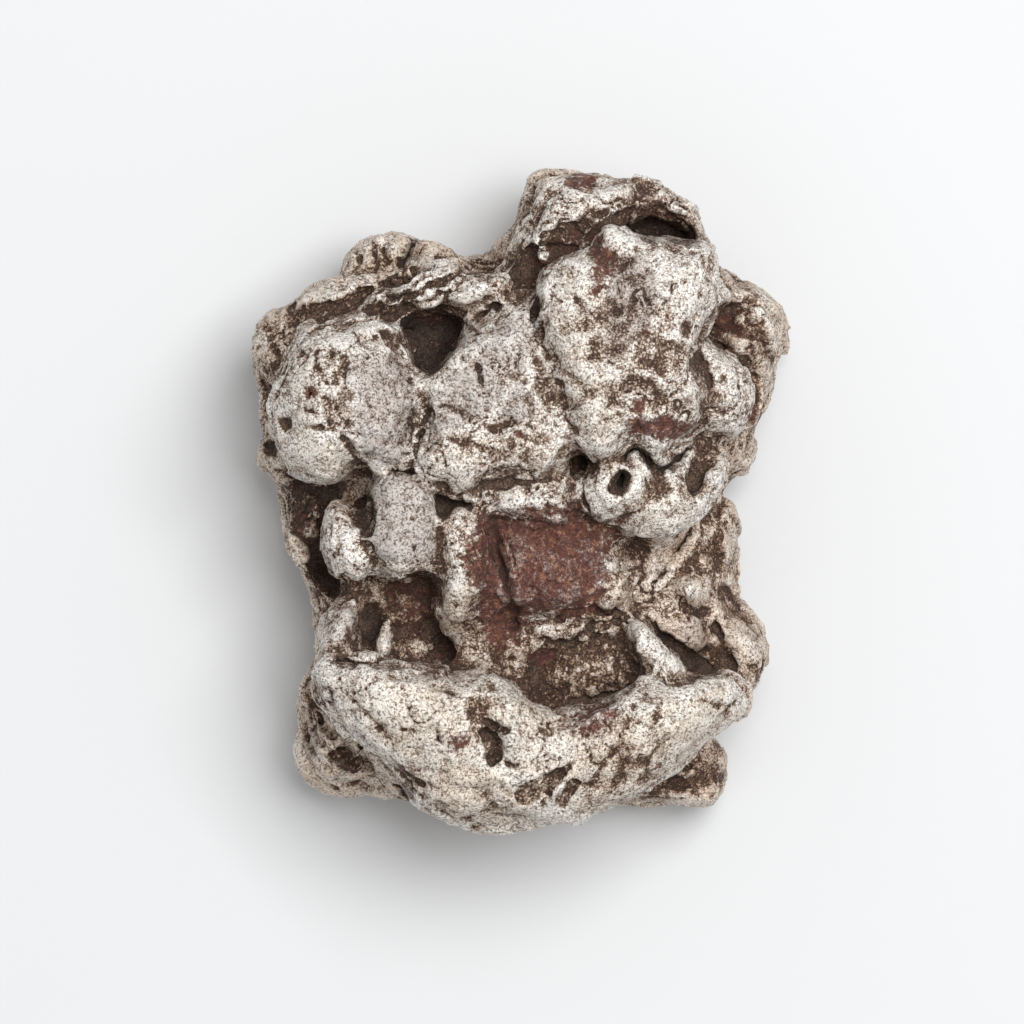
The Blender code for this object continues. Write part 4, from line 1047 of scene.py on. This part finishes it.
@dataclass
class Meteorite:
    """The whole mass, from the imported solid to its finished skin. Lengths are in mm.

    Each pair in ragged is a wavelength and how far the edges of marks are pushed about. Each set in
    hollows is the name of a painted layer, how widely it looks for hollows, and the depth that counts
    as 1. The wear grows out of the floor over calm, and is pushed about over push_length. carved and
    painted are how far a place has to face up for the front's marks to begin there and to be whole.
    """

    node: str = "meteorite"
    name: str = "meteorite_body"
    first_voxel: float = 0.26
    second_voxel: float = 0.24
    triangles: int = 196000
    facet_rounds: int = 10
    closing: float = 0.8
    crease_rounds: int = 14
    crease_limit: float = 0.6
    crease_depth: float = 0.8
    ragged: tuple[Point, ...] = ((1.9, 0.45), (0.6, 0.16))
    carved: Point = (-0.05, 0.35)
    painted: Point = (-0.25, 0.2)
    push_length: float = 6.0
    calm: float = 1.6
    hollows: tuple[tuple[str, int, float], ...] = (
        ("fine_hollow", 2, 0.05), ("hollow", 12, 0.25), ("broad_hollow", 70, 1.2)
    )
    sky_rays: int = 14
    sky_share: float = 0.96
    sky_reach: float = 9.0
    ray_start: float = 0.06

    def build(self) -> bpy.types.Object:
        """Make the piece.

        Returns:
            The finished piece, riding on the part's body in place of its solid.
        """
        made = self.copy_of_solid()
        self.settle(made, self.first_voxel, self.facet_rounds)
        self.close_gaps(made)
        self.carve(made)
        self.settle(made, self.second_voxel, 1)
        self.wear_down(made)
        self.thin_out(made)
        self.paint(made)
        made.data.shade_smooth()
        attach(made, "root")
        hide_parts(self.node)
        return made

    def copy_of_solid(self) -> bpy.types.Object:
        """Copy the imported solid, with its loose triangles joined up and its fills in place.

        Returns:
            The copy.
        """
        mesh = bmesh.new()
        mesh.from_mesh(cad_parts[self.node].data)
        bmesh.ops.remove_doubles(mesh, verts=mesh.verts[:], dist=1e-6)
        for fill in FILLS:
            spot = (
                Matrix.Translation(Vector(fill.middle) * MM)
                @ Matrix.Rotation(math.radians(fill.turn), 4, "Z")
                @ Matrix.Diagonal((*(Vector(fill.radii) * MM), 1.0))
            )
            bmesh.ops.create_icosphere(mesh, subdivisions=3, radius=1.0, matrix=spot)
        data = bpy.data.meshes.new(self.name)
        mesh.to_mesh(data)
        mesh.free()
        return placed(self.name, data)

    def settle(self, made: bpy.types.Object, voxel: float, rounds: int) -> None:
        """Grow one even skin over the mesh and smooth it.

        Args:
            made: The piece.
            voxel: The skin's fineness in mm.
            rounds: How many times it is smoothed.
        """
        skin = made.modifiers.new("Even skin", "REMESH")
        skin.mode = "VOXEL"
        skin.voxel_size = voxel * MM
        relax = made.modifiers.new("Relax", "SMOOTH")
        relax.factor = 0.5
        relax.iterations = rounds
        self.apply(made)

    def close_gaps(self, made: bpy.types.Object) -> None:
        """Swell the mesh, grow a new skin over it and shrink it back, which closes its narrow gaps.

        Args:
            made: The piece.
        """
        for part in (1.0, -1.0):
            swell = made.modifiers.new("Swell", "DISPLACE")
            swell.mid_level = 0.0
            swell.strength = part * self.closing * MM
            self.settle(made, self.first_voxel, 1)

    def apply(self, made: bpy.types.Object) -> None:
        """Replace the piece's mesh with what its modifiers make of it.

        Args:
            made: The piece.
        """
        graph = bpy.context.evaluated_depsgraph_get()
        old = made.data
        new = bpy.data.meshes.new_from_object(made.evaluated_get(graph))
        made.modifiers.clear()
        made.data = new
        bpy.data.meshes.remove(old)
        LOG.info("skin now has %d points", len(new.vertices))

    def ragged_places(self, skin: Skin) -> np.ndarray:
        """Return where each point shows on the front, pushed about so that edges come out ragged.

        Args:
            skin: The skin.

        Returns:
            One place for each point.
        """
        places = skin.shown()
        for index, (length, size) in enumerate(self.ragged):
            for axis in range(2):
                shift = 11.0 * index + 5.0 * axis
                places[:, axis] += size * layered_noise(skin.points, length, 2, shift)
        return places

    def carve(self, made: bpy.types.Object) -> None:
        """Deepen the creases between lumps, and carve the front's marks.

        Args:
            made: The piece.
        """
        skin = Skin.of(made.data)
        crease = np.clip(skin.hollowness(self.crease_rounds), 0.0, self.crease_limit)
        places = self.ragged_places(skin)
        facing = ease(*self.carved, skin.normals[:, 2])
        lift = np.zeros(len(places))
        for mark in MARKS:
            if mark.relief:
                chosen = mark.near(places)
                lift[chosen] += DEEPENING * mark.relief * mark.bowl(places[chosen])
        skin.points -= skin.normals * (self.crease_depth * crease)[:, None]
        skin.points[:, 2] += lift * facing
        self.keep_above_floor(skin)
        skin.put(made.data)

    def wear_down(self, made: bpy.types.Object) -> None:
        """Break the sides and back into plates, and roughen and pit the whole skin.

        Args:
            made: The piece.
        """
        skin = Skin.of(made.data)
        push = np.stack(
            [layered_noise(skin.points, self.push_length, 2, 3.0 * axis) for axis in range(3)], axis=1
        )
        height = np.zeros(len(skin.points))
        for wear in WEARS:
            height += wear.height(skin, push)
        height *= ease(0.0, self.calm, skin.points[:, 2])
        skin.points = skin.points + skin.normals * height[:, None]
        self.keep_above_floor(skin)
        skin.put(made.data)

    def keep_above_floor(self, skin: Skin) -> None:
        """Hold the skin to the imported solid's flat patch below, and near its box on the other sides.

        Args:
            skin: The skin.
        """
        low = np.array(cad_box[0]) / MM - np.array((BOX_MARGIN, BOX_MARGIN, 0.0))
        high = np.array(cad_box[1]) / MM + BOX_MARGIN
        skin.points = np.clip(skin.points, low, high)

    def thin_out(self, made: bpy.types.Object) -> None:
        """Bring the skin down to the wanted number of triangles, most of them where it bends.

        Args:
            made: The piece.
        """
        now = sum(len(face.vertices) - 2 for face in made.data.polygons)
        if now > self.triangles:
            fewer = made.modifiers.new("Thin out", "DECIMATE")
            fewer.ratio = self.triangles / now
            self.apply(made)

    def paint(self, made: bpy.types.Object) -> None:
        """Store what the finish reads: the front's tints, the hollows at three scales, and the shade.

        Args:
            made: The piece.
        """
        skin = Skin.of(made.data)
        places = self.ragged_places(skin)
        facing = ease(*self.painted, skin.normals[:, 2])
        for tint in Tint:
            left = np.zeros(len(places))
            for mark in MARKS:
                strength = getattr(mark, tint.value)
                if strength:
                    chosen = mark.near(places)
                    wash = mark.wash(places[chosen]) * strength
                    left[chosen] = 1.0 - (1.0 - left[chosen]) * (1.0 - wash)
            self.store(made, tint.value, left * facing)
        for name, rounds, depth in self.hollows:
            self.store(made, name, skin.hollowness(rounds) / depth)
        # The share of sky each point sees, which the finish paints in as shade
        self.store(made, "openness", self.openness(made, skin))

    def openness(self, made: bpy.types.Object, skin: Skin) -> np.ndarray:
        """Return the share of the sky that each point sees within a few millimetres.

        Args:
            made: The piece.
            skin: Its skin.

        Returns:
            One number from 0 to 1 for each point.
        """
        tree = BVHTree.FromPolygons(
            [vertex.co for vertex in made.data.vertices], [face.vertices for face in made.data.polygons]
        )
        golden = math.pi * (3.0 - math.sqrt(5.0))
        fan = []
        for index in range(self.sky_rays):
            rise = math.sqrt(1.0 - (index + 0.5) / self.sky_rays * self.sky_share)
            flat = math.sqrt(1.0 - rise * rise)
            fan.append(Vector((flat * math.cos(golden * index), flat * math.sin(golden * index), rise)))
        seen = np.zeros(len(skin.points))
        up = Vector((0.0, 0.0, 1.0))
        reach = self.sky_reach * MM
        for index, (point, normal) in enumerate(zip(skin.points * MM, skin.normals)):
            outward = Vector(normal)
            turn = up.rotation_difference(outward).to_matrix()
            start = Vector(point) + outward * (self.ray_start * MM)
            free = sum(tree.ray_cast(start, turn @ ray, reach)[0] is None for ray in fan)
            seen[index] = free / self.sky_rays
        return seen

    def store(self, made: bpy.types.Object, name: str, values: np.ndarray) -> None:
        """Keep one number for each point of the skin.

        Args:
            made: The piece.
            name: What the finish calls the numbers.
            values: One for each point.
        """
        layer = made.data.attributes.new(name, "FLOAT", "POINT")
        layer.data.foreach_set("value", values.astype(np.float32))


def paint_colour(red: int, green: int, blue: int) -> Colour:
    """Return a colour as the shader counts it.

    Args:
        red: How much red it has as it looks on a screen, from 0 to 255.
        green: How much green.
        blue: How much blue.

    Returns:
        The three parts in linear light, and a whole alpha.
    """
    linear = []
    for part in (red, green, blue):
        level = part / 255.0
        linear.append(level / 12.92 if level <= 0.04045 else ((level + 0.055) / 1.055) ** 2.4)
    return linear[0], linear[1], linear[2], 1.0


class Nodes:
    """Lays out the nodes of one tree, a column to the right for each."""

    def __init__(self, tree: bpy.types.NodeTree) -> None:
        """Take over a tree."""
        self.tree = tree
        self.count = 0

    def add(self, kind: str, inputs: Inputs | None = None, **settings: object) -> bpy.types.Node:
        """Add a node.

        Args:
            kind: Its type's name.
            inputs: What goes in each named input: a socket to link or a value to set.
            settings: The node's own options.

        Returns:
            The new node.
        """
        node = self.tree.nodes.new(kind)
        node.location = (220.0 * (self.count % 12), -260.0 * (self.count // 12))
        self.count += 1
        for name, option in settings.items():
            setattr(node, name, option)
        for name, value in (inputs or {}).items():
            self.feed(node.inputs[name], value)
        return node

    def feed(self, socket: Socket, value: Value) -> None:
        """Link a socket to an input, or set the input's value.

        Args:
            socket: The input.
            value: The socket or value that goes in it.
        """
        if isinstance(value, Socket):
            self.tree.links.new(value, socket)
        else:
            socket.default_value = value

    def math(self, operation: str, *values: Value) -> Socket:
        """Work something out.

        Args:
            operation: The kind of sum.
            values: One to three values for it.

        Returns:
            The result.
        """
        node = self.add("ShaderNodeMath", operation=operation)
        for socket, value in zip(node.inputs, values):
            self.feed(socket, value)
        return node.outputs[0]

    def times(self, first: Value, second: Value) -> Socket:
        """Return the product of two values."""
        return self.math("MULTIPLY", first, second)

    def step(self, value: Value, low: float, high: float, start: float = 0.0, end: float = 1.0) -> Socket:
        """Return a smooth step.

        Args:
            value: What to step.
            low: The value at which the step begins.
            high: The value at which it ends.
            start: The result before the step.
            end: The result after it.

        Returns:
            The stepped value.
        """
        span = {"Value": value, "From Min": low, "From Max": high, "To Min": start, "To Max": end}
        return self.add("ShaderNodeMapRange", span, interpolation_type="SMOOTHSTEP").outputs["Result"]

    def mix(self, factor: Value, first: Value, second: Value, blend: str = "MIX") -> Socket:
        """Mix two colours.

        Args:
            factor: The share of the second.
            first: The first colour.
            second: The second colour.
            blend: How they mix.

        Returns:
            The mixed colour.
        """
        node = self.add("ShaderNodeMix", data_type="RGBA", blend_type=blend)
        for index, value in ((0, factor), (6, first), (7, second)):
            self.feed(node.inputs[index], value)
        return node.outputs[2]

    def vector(self, operation: str, first: Value, name: str | int, second: Value) -> Socket:
        """Work something out on a vector.

        Args:
            operation: The kind of sum.
            first: The vector.
            name: The input that the second value goes in.
            second: The second value.

        Returns:
            The new vector.
        """
        return self.add("ShaderNodeVectorMath", {0: first, name: second}, operation=operation).outputs[0]


def new_group(name: str, inputs: tuple[str, ...], output: str) -> tuple[Nodes, dict[str, Socket]]:
    """Begin a node group whose first input is a vector and whose others are numbers.

    Args:
        name: What it is called.
        inputs: The names of its inputs.
        output: The name of its one output, a number.

    Returns:
        What lays out its nodes, and the sockets that give its inputs.
    """
    tree = bpy.data.node_groups.new(name, "ShaderNodeTree")
    for index, label in enumerate(inputs):
        kind = "NodeSocketFloat" if index else "NodeSocketVector"
        tree.interface.new_socket(label, in_out="INPUT", socket_type=kind)
    tree.interface.new_socket(output, in_out="OUTPUT", socket_type="NodeSocketFloat")
    nodes = Nodes(tree)
    given = nodes.add("NodeGroupInput").outputs
    return nodes, {label: given[label] for label in inputs}


def flake_group() -> bpy.types.NodeTree:
    """Make the group that breaks a surface into flakes.

    Returns:
        The group. It gives how far each point lies from a gap between two flakes.
    """
    nodes, given = new_group("Flakes", ("Vector", "Scale", "Warp"), "Gap")
    place, scale = given["Vector"], given["Scale"]
    swirl = nodes.add(
        "ShaderNodeTexNoise",
        {"Vector": place, "Scale": nodes.times(scale, 1.3), "Detail": 2.0, "Roughness": 0.7},
    ).outputs["Color"]
    middle = nodes.vector("SUBTRACT", swirl, 1, (0.5, 0.5, 0.5))
    push = nodes.vector("SCALE", middle, "Scale", nodes.math("DIVIDE", given["Warp"], scale))
    moved = nodes.vector("ADD", place, 1, push)
    cells = nodes.add("ShaderNodeTexVoronoi", {"Vector": moved, "Scale": scale}, feature="DISTANCE_TO_EDGE")
    nodes.add("NodeGroupOutput", {"Gap": cells.outputs["Distance"]})
    return nodes.tree


def ragged_group() -> bpy.types.NodeTree:
    """Make the group that turns a soft field into a mask with a ragged, speckled edge.

    Returns:
        The group.
    """
    nodes, given = new_group(
        "Ragged mask", ("Vector", "Field", "Scale", "Roughness", "Gain", "Softness"), "Mask"
    )
    inputs = {name: given[name] for name in ("Vector", "Scale", "Roughness")}
    cloud = nodes.add("ShaderNodeTexNoise", {**inputs, "Detail": 4.0}).outputs["Fac"]
    swing = nodes.times(nodes.math("SUBTRACT", cloud, 0.5), given["Gain"])
    level = nodes.math("ADD", swing, given["Field"])
    low = nodes.math("SUBTRACT", 0.5, given["Softness"])
    high = nodes.math("ADD", 0.5, given["Softness"])
    nodes.add("NodeGroupOutput", {"Mask": nodes.step(level, low, high)})
    return nodes.tree


@dataclass(frozen=True)
class Cloud:
    """Noise of the finish: the size of its features in mm, its detail and its roughness."""

    size: float
    detail: float
    roughness: float


@dataclass(frozen=True)
class Mask:
    """A ragged mask: the fields that make it up, and how its edge breaks up.

    weights has each field's name and weight, size is that of the edge's features in mm, roughness,
    gain and softness are those of the edge, and strength is the mask's at its fullest.
    """

    weights: Weights
    size: float
    roughness: float
    gain: float
    softness: float
    strength: float = 1.0


@dataclass(frozen=True)
class CleanedMetal:
    """Bare iron that was brushed back to metal, with oxide left in its hollows and rust where its marks
    say.
    Shade is painted in where little sky is seen, lower down and in deep holes and cracks, and light where
    marks brighten slopes that face away from the lamp.

    metal is the colour from the darkest gap to the brightest grain, with where on the scale of tone
    each stands. The other colours lie over it. Each cloud is noise, each range has the two ends of a
    step, and each set of weights says how strongly the fields of those names count.
    """

    metal: tuple[tuple[float, Colour], ...] = (
        (0.00, paint_colour(48, 36, 30)),
        (0.18, paint_colour(84, 66, 54)),
        (0.34, paint_colour(126, 106, 91)),
        (0.48, paint_colour(178, 162, 148)),
        (0.62, paint_colour(205, 196, 186)),
        (0.80, paint_colour(225, 219, 211)),
        (1.00, paint_colour(240, 236, 230)),
    )
    cool: Colour = paint_colour(210, 206, 206)
    warm: Colour = paint_colour(232, 216, 194)
    # The tan of the painted shade lower down and in sheltered places
    tan: Colour = paint_colour(238, 224, 211)
    halo: Colour = paint_colour(206, 180, 156)
    speck: Colour = paint_colour(70, 55, 46)
    oxide: Colour = paint_colour(122, 99, 82)
    rust: Colour = paint_colour(88, 50, 41)
    blood: Colour = paint_colour(76, 38, 31)
    dust: Colour = paint_colour(146, 104, 86)
    ochre: Colour = paint_colour(138, 94, 70)
    black: Colour = paint_colour(26, 21, 19)

    clouds: tuple[tuple[str, Cloud], ...] = (
        ("zone", Cloud(6.0, 4.0, 0.55)),
        ("patch", Cloud(2.2, 6.0, 0.68)),
        ("grain", Cloud(0.45, 5.0, 0.78)),
        ("dust", Cloud(0.20, 3.0, 0.6)),
        ("speck_cloud", Cloud(0.31, 4.0, 0.72)),
        ("scratch_cloud", Cloud(1.3, 4.0, 0.62)),
        ("grit_cloud", Cloud(0.22, 2.0, 0.6)),
        ("ochre_cloud", Cloud(0.9, 5.0, 0.8)),
        ("blood_cloud", Cloud(1.6, 5.0, 0.8)),
    )
    fleck_cloud: Cloud = Cloud(0.38, 3.0, 0.65)
    fleck_shift: tuple[float, float, float] = (0.3, 0.2, 0.1)
    flake_size: float = 0.42
    flake_warp: float = 1.1

    # How much each field adds to the oxide. Hollows and marks leave real oxide; places that see little sky
    # add painted shade, and marks of cleaner metal also paint light
    oxide_and_shade_weights: Weights = (
        ("fine_hollow", 0.07), ("hollow", 0.13), ("broad_hollow", 0.06), ("shelter_shade", 0.20), ("brown", 0.36),
        ("speckle", 0.26), ("clean", -0.32), ("zone", 0.6), ("patch", 0.90), ("always", -0.78),
    )
    tone_weights: Weights = (
        ("oxide", -0.66), ("hollow", -0.07), ("broad_hollow", -0.05), ("grain", 2.2), ("dust", 1.8),
        ("seam", 0.36), ("flecks", 0.45), ("always", -1.63),
    )
    height_weights: Weights = (("grain", 2.4), ("patch", -0.6))
    cool_mask: Mask = Mask((("cool", 0.75), ("always", 0.12)), 2.5, 0.6, 1.3, 0.3, 0.95)
    warm_mask: Mask = Mask((("warm", 0.5), ("always", 0.22)), 2.5, 0.6, 1.3, 0.4, 0.6)
    # Painted shade: tan lower down and in sheltered places
    low_shade_mask: Mask = Mask((("low_and_sheltered_shade", 0.62), ("always", 0.02)), 3.0, 0.65, 1.4, 0.35)
    stain_mask: Mask = Mask((("oxide", 0.7), ("always", 0.02)), 1.2, 0.7, 0.9, 0.16, 0.5)
    rust_mask: Mask = Mask(
        (("rust", 0.95), ("zone", 0.3), ("patch", 0.7), ("always", -0.54)), 0.8, 0.85, 3.2, 0.12
    )

    crowd_range: Point = (-0.15, 0.65)
    seam_range: Point = (0.0, 0.13)
    seam_closing: float = 0.20
    speck_range: Point = (0.540, 0.568)
    speck_share: Point = (0.16, 0.82)
    fleck_range: Point = (0.55, 0.63)
    scratch_range: Point = (0.011, 0.004)
    scratch_grains: Point = (0.44, 0.52)
    scratch_strength: float = 0.85
    grit_range: Point = (0.54, 0.60)
    grit_strength: float = 0.42
    # Painted shade: the heights over which it grows lower down, and the share that sheltered places add
    low_range: Point = (0.034, 0.018)
    low_shelter: float = 0.6
    halo_strength: float = 0.85
    bare_range: Point = (0.15, 0.55)
    bare_stain: float = 0.45
    stain_range: Point = (0.35, 0.6)
    ochre_range: Point = (0.50, 0.62)
    blood_range: Point = (0.50, 0.60)
    rust_dust: float = 0.4
    rust_specks: float = 0.75
    rust_tones: tuple[float, float, float, float] = (0.8, 1.3, 0.98, 0.75)
    # Painted shade: how far the dark tint blackens holes, cracks and shadowed corners
    dark_shade_step: tuple[float, float, float, float] = (0.3, 1.0, 0.0, 0.4)
    cover_range: Point = (0.55, 0.2)
    bump_strength: float = 0.55
    bump_height: float = 0.13
    roughness: Point = (0.48, 0.9)
    metallic: Point = (0.18, 0.0)

    def material(self) -> bpy.types.Material:
        """Make the material.

        Returns:
            The material.
        """
        made = bpy.data.materials.new("cleaned_metal")
        made.use_nodes = True
        shader = made.node_tree.nodes["Principled BSDF"]
        nodes = MetalNodes(made.node_tree, self)
        rust = nodes.mask(self.rust_mask)
        colour = nodes.rusted(nodes.stained(nodes.tinted(nodes.bare())), rust)
        covered = nodes.math("MAXIMUM", nodes.step(nodes.fields["tone"], *self.cover_range), rust)
        height = nodes.weigh(self.height_weights)
        bump = nodes.add(
            "ShaderNodeBump",
            {"Height": height, "Strength": self.bump_strength, "Distance": self.bump_height * MM},
        )
        nodes.feed(shader.inputs["Base Color"], colour)
        nodes.feed(shader.inputs["Normal"], bump.outputs["Normal"])
        nodes.feed(shader.inputs["Roughness"], nodes.step(covered, 0.0, 1.0, *self.roughness))
        nodes.feed(shader.inputs["Metallic"], nodes.step(covered, 0.0, 1.0, *self.metallic))
        return made


class MetalNodes(Nodes):
    """Lays out the cleaned metal: the fields that are known of each place, and the coats of colour."""

    def __init__(self, tree: bpy.types.NodeTree, finish: CleanedMetal) -> None:
        """Take over a tree and work out the fields.

        Args:
            tree: The material's tree.
            finish: The values of the finish.
        """
        super().__init__(tree)
        self.finish = finish
        self.place = self.add("ShaderNodeTexCoord").outputs["Object"]
        self.ragged = ragged_group()
        self.fields: dict[str, Value] = {"always": 1.0}
        for name in (*(tint.value for tint in Tint), "fine_hollow", "hollow", "broad_hollow", "openness"):
            self.fields[name] = self.add("ShaderNodeAttribute", attribute_name=name).outputs["Fac"]
        for name, cloud in finish.clouds:
            self.fields[name] = self.cloud(self.place, cloud)
        fields = self.fields
        # Painted shade: how little sky each place sees, which darkens it through the oxide and the tan tint
        fields["shelter_shade"] = self.math("SUBTRACT", 1.0, fields["openness"])
        # Oxide left in hollows and by the marks, partly painted shade of sheltered places and partly
        # painted light where marks brighten slopes; the crowd, seams, specks, halo, stains and tone all
        # read it
        fields["oxide"] = self.weigh(finish.oxide_and_shade_weights)
        crowd = fields["crowd"] = self.step(fields["oxide"], *finish.crowd_range)
        gap = self.math("SUBTRACT", self.flake_gap(), self.times(crowd, finish.seam_closing))
        fields["seam"] = self.step(gap, *finish.seam_range)
        share = self.math("MULTIPLY_ADD", crowd, *finish.speck_share)
        fields["specks"] = self.times(self.step(fields["speck_cloud"], *finish.speck_range), share)
        elsewhere = self.vector("ADD", self.place, 1, finish.fleck_shift)
        flecks = self.step(self.cloud(elsewhere, finish.fleck_cloud), *finish.fleck_range)
        fields["flecks"] = self.times(flecks, crowd)
        fields["tone"] = self.weigh(finish.tone_weights)
        # Painted shade, lower down and in sheltered places, which the tan tint shows
        height = self.add("ShaderNodeSeparateXYZ", {"Vector": self.place}).outputs["Z"]
        shade = self.times(fields["shelter_shade"], finish.low_shelter)
        fields["low_and_sheltered_shade"] = self.math("ADD", self.step(height, *finish.low_range), shade)

    def cloud(self, place: Value, cloud: Cloud) -> Socket:
        """Return a cloud's noise.

        Args:
            place: Where to take it.
            cloud: The cloud.

        Returns:
            Numbers around 0.5.
        """
        return self.add(
            "ShaderNodeTexNoise",
            {"Vector": place, "Scale": 1.0 / (cloud.size * MM), "Detail": cloud.detail,
             "Roughness": cloud.roughness},
        ).outputs["Fac"]

    def flake_gap(self) -> Socket:
        """Return how far each place lies from a gap between two flakes.

        Returns:
            The distance, in flakes.
        """
        group = self.add("ShaderNodeGroup", node_tree=flake_group())
        self.feed(group.inputs["Vector"], self.place)
        self.feed(group.inputs["Scale"], 1.0 / (self.finish.flake_size * MM))
        self.feed(group.inputs["Warp"], self.finish.flake_warp)
        return group.outputs["Gap"]

    def weigh(self, weights: Weights) -> Socket:
        """Return the sum of some fields.

        Args:
            weights: Each field's name and weight.

        Returns:
            The sum.
        """
        result: Value = 0.0
        for name, weight in weights:
            result = self.math("MULTIPLY_ADD", self.fields[name], weight, result)
        return result

    def mask(self, mask: Mask) -> Socket:
        """Return a ragged mask.

        Args:
            mask: Its values.

        Returns:
            Numbers from 0 to the mask's strength.
        """
        group = self.add("ShaderNodeGroup", node_tree=self.ragged)
        given = {"Vector": self.place, "Field": self.weigh(mask.weights), "Scale": 1.0 / (mask.size * MM),
                 "Roughness": mask.roughness, "Gain": mask.gain, "Softness": mask.softness}
        for name, value in given.items():
            self.feed(group.inputs[name], value)
        return self.times(group.outputs["Mask"], mask.strength)

    def bare(self) -> Socket:
        """Lay out the brushed metal with its dark specks, scratches and grit.

        Returns:
            The colour.
        """
        finish, fields = self.finish, self.fields
        ramp = self.add("ShaderNodeValToRGB", {"Fac": fields["tone"]})
        stops = ramp.color_ramp.elements
        while len(stops) < len(finish.metal):
            stops.new(0.5)
        for stop, (level, shade) in zip(stops, finish.metal):
            stop.position = level
            stop.color = shade
        colour = self.mix(fields["specks"], ramp.outputs["Color"], finish.speck)
        away = self.math("ABSOLUTE", self.math("SUBTRACT", fields["scratch_cloud"], 0.5))
        scratch = self.times(
            self.step(away, *finish.scratch_range), self.step(fields["grain"], *finish.scratch_grains)
        )
        colour = self.mix(self.times(scratch, finish.scratch_strength), colour, finish.speck)
        grit = self.step(fields["grit_cloud"], *finish.grit_range, 0.0, finish.grit_strength)
        return self.mix(grit, colour, finish.oxide)

    def tinted(self, colour: Socket) -> Socket:
        """Lay the cool and warm tints over a colour, the tan of painted shade lower down and in sheltered
        places, and the halo around oxide.

        Args:
            colour: The colour below.

        Returns:
            The new colour.
        """
        finish = self.finish
        for share, tint in (
            (self.mask(finish.cool_mask), finish.cool),
            (self.mask(finish.warm_mask), finish.warm),
            # Painted shade: tan lower down and where little sky is seen
            (self.mask(finish.low_shade_mask), finish.tan),
            (self.times(self.fields["crowd"], finish.halo_strength), finish.halo),
        ):
            colour = self.mix(share, colour, tint, "MULTIPLY")
        return colour

    def stained(self, colour: Socket) -> Socket:
        """Lay stains of oxide over a colour.

        Args:
            colour: The colour below.

        Returns:
            The new colour.
        """
        finish, fields = self.finish, self.fields
        bare = self.step(fields["tone"], *finish.bare_range)
        stain = self.mix(self.step(fields["dust"], *finish.stain_range), finish.black, finish.oxide)
        share = self.times(self.mask(finish.stain_mask), self.step(bare, 0.0, 1.0, 1.0, finish.bare_stain))
        return self.mix(share, colour, stain)

    def rusted(self, colour: Socket, rust: Socket) -> Socket:
        """Lay rust, and the painted shade that blackens deep holes, cracks and shadowed corners, over a
        colour.

        Args:
            colour: The colour below.
            rust: Where the rust is.

        Returns:
            The new colour.
        """
        finish, fields = self.finish, self.fields
        hue = self.mix(self.step(fields["ochre_cloud"], *finish.ochre_range), finish.rust, finish.ochre)
        hue = self.mix(self.step(fields["blood_cloud"], *finish.blood_range), hue, finish.blood)
        hue = self.mix(self.times(fields["flecks"], finish.rust_dust), hue, finish.dust)
        hue = self.mix(self.times(fields["specks"], finish.rust_specks), hue, finish.black)
        colour = self.mix(self.times(rust, self.step(fields["tone"], *finish.rust_tones)), colour, hue)
        # Painted shade: blackens where the dark tint is painted
        return self.mix(self.step(fields["dark"], *finish.dark_shade_step), colour, finish.black)


@dataclass(frozen=True)
class PaleFloor:
    """The plain surface that the meteorite lies on, and its finish."""

    size: float = 1.6
    colour: Colour = paint_colour(208, 209, 210)
    roughness: float = 0.9

    def build(self) -> bpy.types.Object:
        """Make the floor.

        Returns:
            The floor.
        """
        mesh = bmesh.new()
        bmesh.ops.create_grid(mesh, x_segments=2, y_segments=2, size=self.size)
        data = bpy.data.meshes.new("floor")
        mesh.to_mesh(data)
        mesh.free()
        finish = bpy.data.materials.new("pale_floor")
        finish.use_nodes = True
        shader = finish.node_tree.nodes["Principled BSDF"]
        shader.inputs["Base Color"].default_value = self.colour
        shader.inputs["Roughness"].default_value = self.roughness
        data.materials.append(finish)
        floor = placed("floor", data)
        return floor


@dataclass(frozen=True)
class Studio:
    """Soft studio light: a bright surround and one broad lamp at the upper right."""

    surround: float = 0.56
    white: Colour = (1.0, 1.0, 1.0, 1.0)
    lamp_place: tuple[float, float, float] = (0.17, 0.14, 0.72)
    lamp_size: float = 0.36
    lamp_watts: float = 5.7

    def build(self) -> None:
        """Make the surround and the lamp."""
        world = bpy.data.worlds.new("surround")
        world.use_nodes = True
        sky = world.node_tree.nodes["Background"]
        sky.inputs["Color"].default_value = self.white
        sky.inputs["Strength"].default_value = self.surround
        bpy.context.scene.world = world
        data = bpy.data.lights.new("broad_lamp", "AREA")
        data.size = self.lamp_size
        data.energy = self.lamp_watts
        lamp = placed("broad_lamp", data)
        lamp.location = self.lamp_place
        lamp.rotation_mode = "QUATERNION"
        lamp.rotation_quaternion = (-Vector(self.lamp_place)).to_track_quat("-Z", "Y")
        bpy.context.scene.view_settings.view_transform = "Standard"


@dataclass(frozen=True)
class PhotoCamera:
    """The camera straight above the front. Its lens and sensor are in mm and its clips in metres."""

    lens: float = 300.0
    sensor: float = 36.0
    clip_start: float = 0.05
    clip_end: float = 10.0

    def build(self) -> bpy.types.Object:
        """Make the camera.

        Returns:
            The camera.
        """
        data = bpy.data.cameras.new("photo_camera")
        data.lens = self.lens
        data.sensor_width = self.sensor
        data.clip_start = self.clip_start
        data.clip_end = self.clip_end
        camera = placed("photo_camera", data)
        camera.matrix_world = Matrix.Translation((AIM[0] * MM, AIM[1] * MM, (EYE_HEIGHT + DATUM) * MM))
        bpy.context.scene.camera = camera
        return camera


def main() -> None:
    """Build the meteorite, its floor, its light and the camera."""
    logging.basicConfig(level=logging.INFO, format="%(name)s: %(message)s")
    PhotoCamera().build()
    Studio().build()
    PaleFloor().build()
    body = Meteorite().build()
    body.data.materials.append(CleanedMetal().material())
    LOG.info("%s is done", body.name)


if __name__ == "__main__":
    main()
